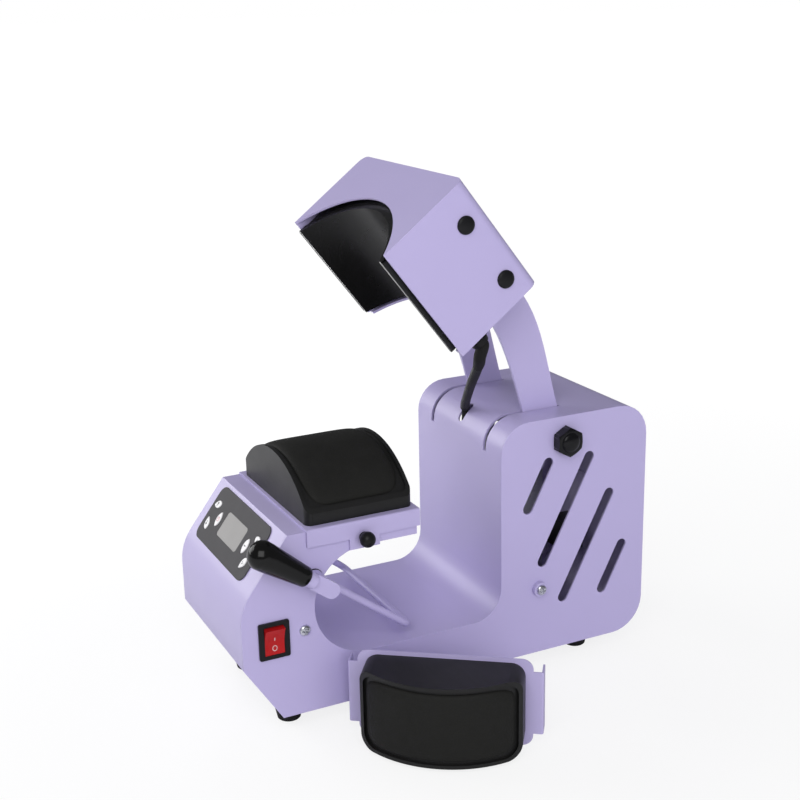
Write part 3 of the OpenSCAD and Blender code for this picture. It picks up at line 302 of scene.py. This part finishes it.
LILAC = (0.445, 0.395, 0.645)
powder_coat = finish_of("lilac_powder_coat", LILAC, 0.40, grain=1100, grain_strength=0.12, drift=0.05,
                        dust=0.05, Coat_Weight=0.12, Coat_Roughness=0.25)
bright_steel = finish_of("zinc_steel", (0.60, 0.61, 0.64), 0.32, metal=1.0, lines=(1, 40, 40), drift=0.12,
                         grain_strength=0.2, dust=0.02)
gear_steel = finish_of("cut_gear_steel", (0.50, 0.50, 0.52), 0.38, metal=1.0, lines=(60, 4, 4), drift=0.15,
                       grain_strength=0.2, dust=0.05)
screw_zinc = finish_of("screw_zinc", (0.66, 0.67, 0.72), 0.28, metal=1.0, grain=500, grain_strength=0.06,
                       drift=0.1, drift_scale=90)
black_oxide = finish_of("black_nut_finish", (0.004, 0.004, 0.005), 0.24, grain=700, grain_strength=0.08,
                        dust=0.004, Specular_IOR_Level=0.25)
black_sheet = finish_of("black_heater_box", (0.009, 0.009, 0.010), 0.40, grain=800, grain_strength=0.2,
                        dust=0.01, Specular_IOR_Level=0.35)
black_plastic = finish_of("black_moulding", (0.008, 0.008, 0.009), 0.36, grain=1500, grain_strength=0.15,
                          smear=0.12, dust=0.008, Specular_IOR_Level=0.2)
glossy_grip = finish_of("grip_gloss", (0.005, 0.005, 0.005), 0.16, grain=350, grain_strength=0.03,
                        smear=0.10, dust=0.003, Specular_IOR_Level=0.25)
foot_rubber = finish_of("foot_rubber", (0.009, 0.009, 0.009), 0.72, grain=900, grain_strength=0.3, dust=0.02,
                        Specular_IOR_Level=0.25)
platen_coat = finish_of("platen_coat", (0.009, 0.009, 0.009), 0.44, grain=1200, grain_strength=0.12,
                        smear=0.1, dust=0.012, Specular_IOR_Level=0.3)
heater_coat = finish_of("heater_non_stick", (0.005, 0.005, 0.005), 0.26, grain=1000, grain_strength=0.06,
                        smear=0.1, dust=0.003, Specular_IOR_Level=0.22)
overlay_film = finish_of("overlay_film", (0.075, 0.073, 0.077), 0.5, grain=2600, grain_strength=0.12,
                         drift=0.1, drift_scale=60, Specular_IOR_Level=0.06)
lcd_face = finish_of("lcd_face", (0.29, 0.283, 0.276), 0.25, grain=4000, grain_strength=0.02,
                     drift=0.12, drift_scale=45, Specular_IOR_Level=0.08)
board_mask = finish_of("board_mask", (0.03, 0.13, 0.05), 0.35, grain=600, grain_strength=0.15, drift=0.3)
key_white = finish_of("key_white", (0.78, 0.77, 0.78), 0.35, grain=900, grain_strength=0.04, drift=0.03)
cream_block = finish_of("terminal_nylon", (0.70, 0.67, 0.58), 0.5, grain=700, grain_strength=0.1)
bronze_bush = finish_of("sintered_bronze", (0.52, 0.35, 0.15), 0.42, metal=1.0, grain=1800,
                        grain_strength=0.25, drift=0.2)
gear_case = finish_of("cast_gear_case", (0.30, 0.31, 0.33), 0.46, metal=0.8, grain=450, grain_strength=0.35,
                      drift=0.15)
foil_mat = finish_of("heating_foil", (0.30, 0.30, 0.31), 0.5, metal=1.0, grain=220, grain_strength=0.1)
ink_black = finish_of("ink_black", (0.03, 0.03, 0.035), 0.45, grain=2500, grain_strength=0.05)
ink_red = finish_of("ink_red", (0.50, 0.04, 0.06), 0.45, grain=2500, grain_strength=0.05)
mark_white = finish_of("rocker_marks", (0.62, 0.50, 0.50), 0.4, grain=2500, grain_strength=0.05)


def red_lens():
    """Moulded red lens of the lit rocker: deep red colour that lightens towards thin edges."""
    mat = finish_of("rocker_red_lens", (0.40, 0.006, 0.008), 0.2, grain=700, grain_strength=0.03, drift=0.25,
                    drift_scale=160, dust=0.008, Specular_IOR_Level=0.22, Coat_Weight=0.06,
                    Coat_Roughness=0.05, Subsurface_Weight=0.1, Subsurface_Scale=0.002)
    mat.node_tree.nodes["Principled BSDF"].inputs["Subsurface Radius"].default_value = (1.0, 0.1, 0.08)
    return mat


def pad_skin():
    """Open-pored dark silicone sponge: rounded pits over fine grain, matte."""
    mat = finish_of("silicone_sponge", (0.0105, 0.0105, 0.0095), 0.68, drift=0.22, drift_scale=160,
                    dust=0.012, Specular_IOR_Level=0.2)
    tree = mat.node_tree
    bsdf = tree.nodes["Principled BSDF"]
    where = put(tree, "TexCoord").outputs["Object"]
    pits = put(tree, "TexVoronoi", {"Vector": where, "Scale": 950.0}, feature="SMOOTH_F1")
    grit = put(tree, "TexNoise", {"Vector": where, "Scale": 2600.0, "Detail": 3.0})
    both = put(tree, "Math", {0: pits.outputs["Distance"], 1: grit.outputs["Fac"]}, operation="ADD")
    bump = put(tree, "Bump", {"Strength": 0.45, "Distance": 0.0003, "Height": both.outputs[0]})
    tree.links.new(bump.outputs["Normal"], bsdf.inputs["Normal"])
    return mat


def braid():
    """Woven sleeve: two crossing waves along and round the tube, read from its own UV map."""
    mat = finish_of("woven_sleeve", (0.008, 0.008, 0.008), 0.5, drift=0.2, drift_scale=200, dust=0.01,
                    Specular_IOR_Level=0.3)
    tree = mat.node_tree
    bsdf = tree.nodes["Principled BSDF"]
    place = put(tree, "UVMap", uv_map="run")
    heights = []
    for lean in (1.0, -1.0):
        turned = put(tree, "VectorMath", {0: place.outputs["UV"], 1: (1.0, lean, 0.0)},
                     operation="DOT_PRODUCT")
        wave = put(tree, "Math", {0: turned.outputs["Value"], 1: TAU * 8}, operation="MULTIPLY")
        heights.append(put(tree, "Math", {0: wave.outputs[0]}, operation="SINE"))
    weave = put(tree, "Math", {0: heights[0].outputs[0], 1: heights[1].outputs[0]}, operation="MAXIMUM")
    bump = put(tree, "Bump", {"Strength": 0.35, "Distance": 0.0003, "Height": weave.outputs[0]})
    tree.links.new(bump.outputs["Normal"], bsdf.inputs["Normal"])
    return mat


rocker_lens, sponge, woven_sleeve = red_lens(), pad_skin(), braid()

FINISHES = {
    powder_coat: "side_plate_right side_plate_left front_cover spine_sheet rear_panel rear_cover base_plate "
                 "screw_collars bail_rod bail_lever tray spare_tray arm_right arm_left head_shell "
                 "head_rear_plate",
    bright_steel: "cross_struts pivot_axle axle_spacers motor_bracket board_posts hub_tube arm_tie head_bars",
    gear_steel: "drive_pinion drive_sector",
    screw_zinc: "case_screws platen_bolts spare_bolts",
    black_oxide: "axle_nuts",
    black_sheet: "heater_box",
    black_plastic: "switch_bezel power_inlet clamp_knob head_caps cable_gland bail_bushes",
    glossy_grip: "bail_grip",
    foot_rubber: "feet head_cable",
    sponge: "platen_pad spare_pad",
    platen_coat: "platen_body spare_body",
    heater_coat: "heater_plate",
    overlay_film: "panel_overlay",
    lcd_face: "display_window",
    ink_black: "display_module",
    board_mask: "control_board",
    key_white: "button_up button_down button_clock button_plus button_minus button_start",
    rocker_lens: "switch_rocker",
    cream_block: "terminal_block",
    bronze_bush: "arm_bushes",
    gear_case: "gearmotor",
    foil_mat: "heater_element",
}


def joined_skin():
    """Geometry nodes that join a CAD node's loose triangles and shade its rounds smoothly."""
    tree = bpy.data.node_groups.new("joined_skin", "GeometryNodeTree")
    tree.interface.new_socket(name="Geometry", in_out="INPUT", socket_type="NodeSocketGeometry")
    tree.interface.new_socket(name="Geometry", in_out="OUTPUT", socket_type="NodeSocketGeometry")
    i, o = tree.nodes.new("NodeGroupInput"), tree.nodes.new("NodeGroupOutput")
    weld = tree.nodes.new("GeometryNodeMergeByDistance")
    weld.inputs["Distance"].default_value = CAD_WELD
    faces = tree.nodes.new("GeometryNodeSetShadeSmooth")
    faces.domain = "FACE"
    faces.inputs["Shade Smooth"].default_value = True
    edges = tree.nodes.new("GeometryNodeSetShadeSmooth")
    edges.domain = "EDGE"
    edges.inputs["Shade Smooth"].default_value = False
    angle = tree.nodes.new("GeometryNodeInputMeshEdgeAngle")
    sharp = tree.nodes.new("FunctionNodeCompare")
    sharp.operation = "GREATER_THAN"
    sharp.inputs["B"].default_value = np.radians(CREASE)
    tree.links.new(i.outputs[0], weld.inputs["Geometry"])
    tree.links.new(weld.outputs[0], faces.inputs["Geometry"])
    tree.links.new(faces.outputs[0], edges.inputs["Geometry"])
    tree.links.new(angle.outputs["Unsigned Angle"], sharp.inputs["A"])
    tree.links.new(sharp.outputs[0], edges.inputs["Selection"])
    tree.links.new(edges.outputs[0], o.inputs[0])
    return tree


SMOOTH = joined_skin()
EASED = {   # width in millimetres of the rounded edges of folded, cut or cast pieces
    "side_plate_right": 0.5, "side_plate_left": 0.5, "tray": 0.35, "spare_tray": 0.35, "arm_right": 0.5,
    "arm_left": 0.5, "head_shell": 0.4, "platen_body": 1.2, "spare_body": 1.2, "switch_bezel": 0.5,
    "bail_lever": 0.8, "feet": 0.6, "rear_cover": 0.4, "power_inlet": 0.4, "screw_collars": 0.3,
    "pivot_axle": 0.5,
}


def dress(name, mat):
    """A CAD node gets its finish, eased edges where its sheet is folded or cast, and smooth rounds."""
    obj = NODE[name]
    if not obj.material_slots:
        obj.data.materials.append(mat)
    for slot in obj.material_slots:
        slot.material = mat
    if name in EASED:
        weld = obj.modifiers.new("weld", "WELD")
        weld.merge_threshold = CAD_WELD
        flats = obj.modifiers.new("whole_flats", "DECIMATE")
        flats.decimate_type = "DISSOLVE"
        flats.angle_limit = np.radians(1.0)
        ease = obj.modifiers.new("eased_edges", "BEVEL")
        ease.width = EASED[name] / 1000
        ease.segments = 2
        ease.limit_method = "ANGLE"
        ease.angle_limit = np.radians(CREASE)
        ease.use_clamp_overlap = True
    skin = obj.modifiers.new("joined_skin", "NODES")
    skin.node_group = SMOOTH
    if name in EASED:
        even = obj.modifiers.new("even_flats", "WEIGHTED_NORMAL")
        even.keep_sharp = True


for finish, names in FINISHES.items():
    for label in names.split():
        dress(label, finish)


# surfaces from formulas

def settled(name, mesh, mat, body, smooth, drop_thin):
    """A mesh's object, its points merged and its faces turned outwards, riding on its body if it has one."""
    work = bmesh.new()
    work.from_mesh(mesh)
    bmesh.ops.remove_doubles(work, verts=work.verts, dist=SKIN_WELD)
    if drop_thin:
        bmesh.ops.dissolve_degenerate(work, dist=THIN, edges=work.edges)
    bmesh.ops.recalc_face_normals(work, faces=work.faces)
    work.to_mesh(mesh)
    work.free()
    mesh.shade_smooth()
    mesh.set_sharp_from_angle(angle=np.radians(smooth))
    mesh.materials.clear()
    mesh.materials.append(mat)
    obj = bpy.data.objects.new(name, mesh)
    bpy.context.scene.collection.objects.link(obj)
    if body:
        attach(obj, body)
    return obj


def skin_of(name, grids, mat, body, smooth=42.0, uv=None):
    """One mesh from grids of points, each (rows, columns, 3) in machine millimetres.

    Neighbouring points of a grid share a quad; equal points are merged, so a row that shrinks to one
    point closes a pole and a last column equal to the first closes a tube.
    """
    verts, quads, start = [], [], 0
    for g in grids:
        r, c = g.shape[:2]
        idx = start + np.arange(r * c).reshape(r, c)
        quads.append(np.stack([idx[:-1, :-1], idx[:-1, 1:], idx[1:, 1:], idx[1:, :-1]], -1).reshape(-1, 4))
        verts.append(at(g.reshape(-1, 3)))
        start += r * c
    verts, quads = np.concatenate(verts), np.concatenate(quads)
    mesh = bpy.data.meshes.new(name)
    mesh.from_pydata(verts.tolist(), [], quads.tolist())
    if uv is not None:
        layer = mesh.uv_layers.new(name="run")
        flat = np.concatenate([u.reshape(-1, 2) for u in uv])
        corner = np.empty(len(mesh.loops), dtype=np.int32)
        mesh.loops.foreach_get("vertex_index", corner)
        layer.data.foreach_set("uv", flat[corner].ravel())
    return settled(name, mesh, mat, body, smooth, drop_thin=True)


def circle(steps):
    """Angles round a closed ring, whose last is exactly its first."""
    t = np.linspace(0, TAU, steps + 1)
    t[-1] = 0.0
    return t


def square_to(axis):
    """An axis as a unit vector, and two more that are square to it and to each other."""
    axis = np.asarray(axis, float) / np.linalg.norm(axis)
    first = np.cross(axis, (0.0, 0.0, 1.0) if abs(axis[2]) < 0.9 else (0.0, 1.0, 0.0))
    first /= np.linalg.norm(first)
    return axis, first, np.cross(axis, first)


def swept(spot, axis, t, r, h):
    """Points at radius r and height h, (rows, 1) or (rows, columns), round an axis at the angles t."""
    axis, first, second = square_to(axis)
    ring = np.cos(t)[:, None] * first + np.sin(t)[:, None] * second
    return np.asarray(spot, float) + r[..., None] * ring + h[..., None] * axis


def cut_head(spot, axis, r=4.7, crown=2.9, half_bar=0.55):
    """Pan screw head with a cross recess: a dome on polar rings, pushed in where either bar of a cross is.

    Height at radius q: crown * (0.9 * (1 - (q / r)^2.6)^(1 / 2) + 0.1) less the recess, whose depth falls
    from its middle.
    """
    axis, first, second = square_to(axis)
    q = np.concatenate([np.linspace(0, 0.62 * r, 22), np.linspace(0.66 * r, r, 12)])
    q, t = np.meshgrid(q, circle(96), indexing="ij")
    x, y = q * np.cos(t), q * np.sin(t)
    dome = crown * np.sqrt(np.clip(1 - (q / r) ** 2.6, 0, 1)) * 0.9 + 0.1 * crown * (q < r)
    bars = np.minimum(np.abs(x), np.abs(y))
    reach = np.maximum(np.abs(x), np.abs(y))
    cross = 1 / (1 + np.exp((bars - half_bar) * 16)) / (1 + np.exp((reach - 0.56 * r) * 9))
    height = dome - cross * (1.7 - 0.25 * reach)
    skirt = np.where(q >= r * 0.999, 0.0, height)
    return np.asarray(spot, float) + x[..., None] * first + y[..., None] * second + skirt[..., None] * axis


def side_points(x, y, z):
    """Points of one or more arrays that broadcast to a grid, as (..., 3)."""
    return np.stack(np.broadcast_arrays(x, y, z), -1)


# screws

STRUT_SCREWS = ((52.0, 72.0, 75.0), (267.0, 60.0, 79.0))   # y, z and the distance from the middle plane
COVER_SCREWS = [(sx * 54.0, 375.5, 143 + sz * 32.0) for sx in (1, -1) for sz in (1, -1)]
FOOT_SCREWS = [(x, y, 2.0) for x in (-49.0, 49.0) for y in (45.0, 321.0)]
SHANK = np.array([(0, -12), (2.4, -12), (2.4, 0)], float)   # radius and height, from the head's foot
strut_ends = [(s, (s * x, y, z)) for s in (1, -1) for y, z, x in STRUT_SCREWS]
heads = [cut_head(spot, (s, 0, 0)) for s, spot in strut_ends]
heads += [cut_head(spot, (0, 1, 0)) for spot in COVER_SCREWS]
heads += [cut_head(spot, (0, 0, 1)) for spot in FOOT_SCREWS]
shanks = [swept(spot, (s, 0, 0), circle(24), SHANK[:, :1], SHANK[:, 1:]) for s, spot in strut_ends]
screws = skin_of("case_screw_set", heads + shanks, screw_zinc, "frame")
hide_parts("case_screws")


# cap nuts on the axle

def cap_nut(spot, axis, across=22.5, tall=9.2, bore=7.6, deep=8.3, dome_r=8.4, dome_h=3.1):
    """Hexagon cap nut as one closed skin: blind bore, six flats, 30 degree chamfer and a smaller dome.

    The hexagon's radius at angle t is (across / 2) / cos(t folded into -30 to 30 degrees).
    """
    t = circle(96)
    fold = (np.degrees(t) + 30) % 60 - 30
    flat = across / 2
    hexagon = flat / np.cos(np.radians(fold))
    shoulder = tall - (hexagon - flat) * np.tan(np.radians(30))
    dome_foot = tall + 0.1
    rows = [(0, deep), (bore, deep), (bore, 0), (np.minimum(hexagon, flat + 0.6), 0), (hexagon, 0.4),
            (hexagon, shoulder), (flat, tall), (dome_r * 1.03, dome_foot)]
    rows += [(dome_r * np.cos(b), dome_foot + dome_h * np.sin(b)) for b in np.radians(np.arange(0, 91, 9))]
    r, h = (np.array([np.broadcast_to(value, t.shape) for value in part]) for part in zip(*rows))
    return swept(spot, axis, t, r, h)


AXLE_ENDS = [((s * 75.0, 291.5, 189.5), (s, 0.0, 0.0)) for s in (1, -1)]
nuts = skin_of("axle_cap_nuts", [cap_nut(spot, way) for spot, way in AXLE_ENDS], black_oxide, "frame",
               smooth=28)
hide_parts("axle_nuts")


# padded platens

SQUARENESS = 7.0
WAIST = 0.6


def cushion(half_w, half_l, bed_r, arch_z, thick, crown):
    """Crowned sponge pad on an arch, as a closed skin in the platen's own frame.

    Plan outline: |x|^7 + |y|^7 = 1 drawn to the half sizes, with sides that pull in WAIST millimetres between
    the corners. From the middle (s = 0) to the outline (s = 1) the thickness is
    thick * (1 - s^9)^(1/2) + crown * (1 - s^2), and the underside lies on the bed.
    """
    t = circle(200)
    c, s = np.cos(t), np.sin(t)
    k = (np.abs(c) ** SQUARENESS + np.abs(s) ** SQUARENESS) ** (-1 / SQUARENESS)
    ex, ey = k * c, k * s
    pull = WAIST * (np.cos(np.pi * ey / 2) * np.abs(ex) ** 6 + np.cos(np.pi * ex / 2) * np.abs(ey) ** 6)
    x0 = ex * half_w * (1 - pull / half_w)
    y0 = ey * half_l * (1 - pull / half_l)
    s_top = 1 - (1 - np.linspace(0, 1, 34)) ** 1.8
    up = thick * np.sqrt(np.clip(1 - s_top ** 9, 0, 1)) + crown * (1 - s_top ** 2)
    s_all = np.concatenate([s_top, s_top[::-1][1:]])
    h = np.concatenate([up, np.zeros(len(s_top) - 1)])
    x = s_all[:, None] * x0
    y = s_all[:, None] * y0
    r = bed_r + h[:, None]
    theta = np.arcsin(np.clip(x / bed_r, -1, 1)) * (bed_r / r) ** 0.5
    return side_points(r * np.sin(theta), y, arch_z + r * np.cos(theta))


SPARE_SPOT = (140.5, 141, 21.5)
SPARE_TURN = 53.9


def on_spare(p):
    """From the spare platen's own frame to its place: laid on a long edge, then turned."""
    a = np.radians(SPARE_TURN)
    x, y, z = p[..., 0], -p[..., 2], p[..., 1]
    turned = side_points(x * np.cos(a) - y * np.sin(a), x * np.sin(a) + y * np.cos(a), z)
    return turned + SPARE_SPOT


main_pad = cushion(64.7, 40.7, 87.6, 108.6, 3.7, 0.35) + np.array([0, 105.25, 0])
pad = skin_of("platen_cushion", [main_pad], sponge, "tray", smooth=60)
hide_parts("platen_pad")

spare_skin = on_spare(cushion(57.7, 28.45, 85.6, -39.5, 3.7, 0.35))
spare_cushion = skin_of("spare_cushion", [spare_skin], sponge, "spare", smooth=60)
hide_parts("spare_pad")


# head cable

def smooth_route(points, per_span):
    """Catmull-Rom curve through the route's points."""
    p = np.vstack([points[0], points, points[-1]])
    t = np.linspace(0, 1, per_span, endpoint=False)[:, None]
    a, b, c, d = p[:-3, None], p[1:-2, None], p[2:-1, None], p[3:, None]
    run = 0.5 * (2 * b + (c - a) * t + (2 * a - 5 * b + 4 * c - d) * t ** 2
                 + (3 * b - a - 3 * c + d) * t ** 3)
    return np.vstack([run.reshape(-1, 3), points[-1:]])


def tube_along(line, radius, sides=28):
    """Round tube: a circle of the given radius at each point, square to the line; ends drawn to a point."""
    ahead = np.gradient(line, axis=0)
    ahead /= np.linalg.norm(ahead, axis=1)[:, None]
    across = np.array([1.0, 0, 0]) - ahead[:, :1] * ahead
    across /= np.linalg.norm(across, axis=1)[:, None]
    up = np.cross(across, ahead)
    a = circle(sides)
    ring = np.cos(a)[None, :, None] * across[:, None] + np.sin(a)[None, :, None] * up[:, None]
    body = line[:, None] + np.broadcast_to(radius, len(line))[:, None, None] * ring
    first = np.broadcast_to(line[0], body[:1].shape)
    last = np.broadcast_to(line[-1], body[:1].shape)
    return np.concatenate([first, body, last])


# from the gland in the head's rear plate, through the tower's top, to the end inside the tower
cable_route = np.array([
    [73, 212.045, 283.192], [73, 214.145, 280.442], [68, 214.445, 270.492], [57, 218.945, 259.092],
    [36, 223.9, 238.0], [13, 231.6, 216.9], [2, 236.6, 207.6], [0, 237.7, 199], [0, 237, 188],
    [0, 236.5, 178], [0, 236.5, 165], [0, 236.5, 152]], float)
PER_SPAN = 8
cable_line = smooth_route(cable_route, PER_SPAN)
CABLE_R = 2.9
cable = skin_of("head_lead", [tube_along(cable_line, CABLE_R)], foot_rubber, None, smooth=60)
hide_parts("head_cable")
boot_line = cable_line[3:3 * PER_SPAN + 1]
boot_r = np.interp(np.linspace(0, 1, len(boot_line)), [0, 0.06, 0.9, 1], [4.4, 5.3, 4.9, 4.4])
boot = skin_of("cable_boot", [tube_along(boot_line, boot_r, 36)], foot_rubber, None, smooth=60)
sleeve_line = cable_line[3 * PER_SPAN - 2:6 * PER_SPAN + 3]
sleeve_r = 4.0 + 0.1 * np.sin(np.linspace(0, 9, len(sleeve_line)))
sleeve_r[[0, -1]] = 3.2
sleeve_grid = tube_along(sleeve_line, sleeve_r, 32)
rows, columns = sleeve_grid.shape[:2]
sleeve_uv = np.stack(np.meshgrid(np.linspace(0, 9, rows), np.linspace(0, 1, columns), indexing="ij"), -1)
sleeve = skin_of("cable_sleeve", [sleeve_grid], woven_sleeve, None, smooth=60, uv=[sleeve_uv])


# control panel

SLOPE = np.radians(52.7)


def on_slope(p):
    """From the control panel's own frame (across, up the slope, out of it) to the machine.

    The slope's upper edge lies at y = 41 and z = 154, 28 mm above the panel's middle.
    """
    x, v, w = p[..., 0], p[..., 1] - 28.0, p[..., 2]
    c, s = np.cos(SLOPE), np.sin(SLOPE)
    return side_points(x - 4.5, 41 + v * c - w * s, 154 + v * s + w * c)


def leaf(half_long, half_wide, lean, blunt):
    """Closed outline of a key: two arcs that meet in points, one of them blunted, turned by lean degrees.

    The half width at length s is half_wide * (1 - s^2)^0.8 * (1 + blunt * s).
    """
    s = np.linspace(-1, 1, 41)
    wide = half_wide * (1 - s ** 2) ** 0.8 * (1 + blunt * s)
    edge = np.concatenate([np.c_[s * half_long, wide], np.c_[s * half_long, -wide][::-1][1:]])
    a = np.radians(lean)
    return edge @ np.array([[np.cos(a), np.sin(a)], [-np.sin(a), np.cos(a)]])


def petal(spot, half_long, half_wide, lean, blunt, lift=1.55):
    """Key cap as one closed skin: flat foot inside the film, upright rim and a soft crown."""
    edge = leaf(half_long, half_wide, lean, blunt)
    scale = np.array([0.0, 1.0, 1.0, 0.97, 0.9, 0.7, 0.35, 0.0])
    high = np.array([0.1, 0.1, lift - 0.2, lift - 0.06, lift, lift + 0.05, lift + 0.08, lift + 0.09])
    grid = scale[:, None, None] * edge[None] + np.asarray(spot, float)
    return on_slope(np.concatenate([grid, np.broadcast_to(high[:, None, None], grid.shape[:2] + (1,))], -1))


def rounded(width, height, corner, steps=12):
    """Outline of a rounded rectangle about the origin."""
    a = np.radians(np.linspace(0, 90, steps + 1))
    arcs = [np.c_[np.cos(a + k * np.pi / 2), np.sin(a + k * np.pi / 2)] * corner for k in range(4)]
    inner = np.array([width / 2 - corner, height / 2 - corner])
    signs = np.array([[1, 1], [-1, 1], [-1, -1], [1, -1]])
    return np.concatenate([arc + inner * sign for arc, sign in zip(arcs, signs)])


def film(name, outlines, thick, mat):
    """Flat sheet on the slope, as thick as said: the first outline is its rim, the others are holes."""
    shape = bpy.data.curves.new(name, "CURVE")
    shape.dimensions = "2D"
    shape.fill_mode = "BOTH"
    shape.extrude = thick / 2
    for outline in outlines:
        line = shape.splines.new("POLY")
        line.points.add(len(outline) - 1)
        line.points.foreach_set("co", np.c_[outline, np.zeros(len(outline)), np.ones(len(outline))].ravel())
        line.use_cyclic_u = True
    pattern = bpy.data.objects.new(name + "_outline", shape)
    mesh = bpy.data.meshes.new_from_object(pattern)
    mesh.name = name
    bpy.data.objects.remove(pattern)
    flat = np.empty(len(mesh.vertices) * 3)
    mesh.vertices.foreach_get("co", flat)
    flat = flat.reshape(-1, 3) + (0, 0, thick / 2)
    mesh.vertices.foreach_set("co", at(on_slope(flat)).ravel())
    return settled(name, mesh, mat, "frame", 30, drop_thin=False)


def ribbon(path, width, spot, lift=1.68, closed=False):
    """Printed line of constant width along a flat path on a key."""
    path = np.asarray(path, float)
    if closed:
        path = np.vstack([path, path[:1]])
    way = np.gradient(path, axis=0)
    if closed:
        way[0] = way[-1] = path[1] - path[-2]
    way /= np.linalg.norm(way, axis=1)[:, None]
    side = np.c_[-way[:, 1], way[:, 0]] * width / 2
    grid = np.stack([path - side, path + side], 0) + np.asarray(spot, float)
    return on_slope(np.concatenate([grid, np.full(grid.shape[:2] + (1,), lift)], -1))


def ring_of(r, n=28):
    """Path of n points round a circle, without the closing one."""
    t = np.linspace(0, TAU, n, endpoint=False)
    return np.c_[r * np.cos(t), r * np.sin(t)]


# each key's spot, half length, half width, lean in degrees, bluntness, printed paths with widths, and ink
KEYS = {
    "button_up": ((-47, 8.5), 5.6, 3.3, 20, 0.25,
                  [([(0, -1.9), (0, 1.7)], 0.8), ([(-1.2, 0.5), (0, 1.8), (1.2, 0.5)], 0.8)], ink_black),
    "button_down": ((-47, -9.5), 5.8, 3.3, -62, 0.25,
                    [([(0, 1.9), (0, -1.7)], 0.8), ([(-1.2, -0.5), (0, -1.8), (1.2, -0.5)], 0.8)], ink_black),
    "button_clock": ((-32, -0.5), 6.6, 3.7, -90, 0.0,
                     [(ring_of(1.9), 0.45), ([(0, 1.2), (0, 0), (0.9, -0.3)], 0.45)], ink_red),
    "button_minus": ((33, -0.5), 6.6, 3.7, -90, 0.0, [([(-1.6, 0), (1.6, 0)], 0.9)], ink_black),
    "button_plus": ((46.5, 9), 5.8, 3.3, 160, 0.25,
                    [([(-1.6, 0), (1.6, 0)], 0.8), ([(0, -1.6), (0, 1.6)], 0.8)], ink_black),
    "button_start": ((44.5, -11.5), 5.8, 3.3, 62, 0.25,
                     [([(-0.9, -1.4), (1.5, 0), (-0.9, 1.4), (-0.9, -1.4)], 0.5)], ink_black),
}
for key, (spot, long_, wide_, lean, blunt, marks, ink) in KEYS.items():
    cap = skin_of(key + "_cap", [petal(spot, long_, wide_, lean, blunt)], key_white, key, smooth=50)
    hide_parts(key)
    # only a ring has more than six points, and only a ring is closed
    lines = [ribbon(path, width, spot, closed=len(path) > 6) for path, width in marks]
    sign = skin_of(key + "_sign", lines, ink, key)


KEY_ROOM = 0.28   # gap between a key and the film, in millimetres
key_holes = [leaf(long_ + KEY_ROOM, wide_ + KEY_ROOM, lean, blunt)[:-1] + np.array(spot)
             for spot, long_, wide_, lean, blunt, marks, ink in KEYS.values()]
overlay = film("panel_film", [rounded(114, 49, 8), rounded(45, 22, 3)] + key_holes, 1.0, overlay_film)
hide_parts("panel_overlay")


# rocker marks

ROCKER_HALF = 31 / 2 - 3.7 - 0.6   # half the length of the rocker's face
MARK_LIFT = 0.06


def on_rocker(u, v):
    """Printed points on the rocker's hollow face: across u and up v, tilted as at rest."""
    w = 3.6 + 1.9 * np.abs(v / ROCKER_HALF) ** 1.6 + MARK_LIFT
    a = np.radians(9)
    vv, ww = v * np.cos(a) - w * np.sin(a), v * np.sin(a) + w * np.cos(a)
    return side_points(75 - 2 + ww, 26 + u, 70 + vv)


ring_t = circle(40)[None]
ring_q = np.array([1.55, 2.05])[:, None]
marks = [on_rocker(np.array([-0.35, 0.35])[None], np.linspace(0.5, 3.4, 9)[:, None]),
         on_rocker(ring_q * np.cos(ring_t), -6.0 + 1.15 * ring_q * np.sin(ring_t))]
rocker_marks = skin_of("rocker_marks", marks, mark_white, "rocker")

for piece in (cable, boot, sleeve):
    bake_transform(piece)
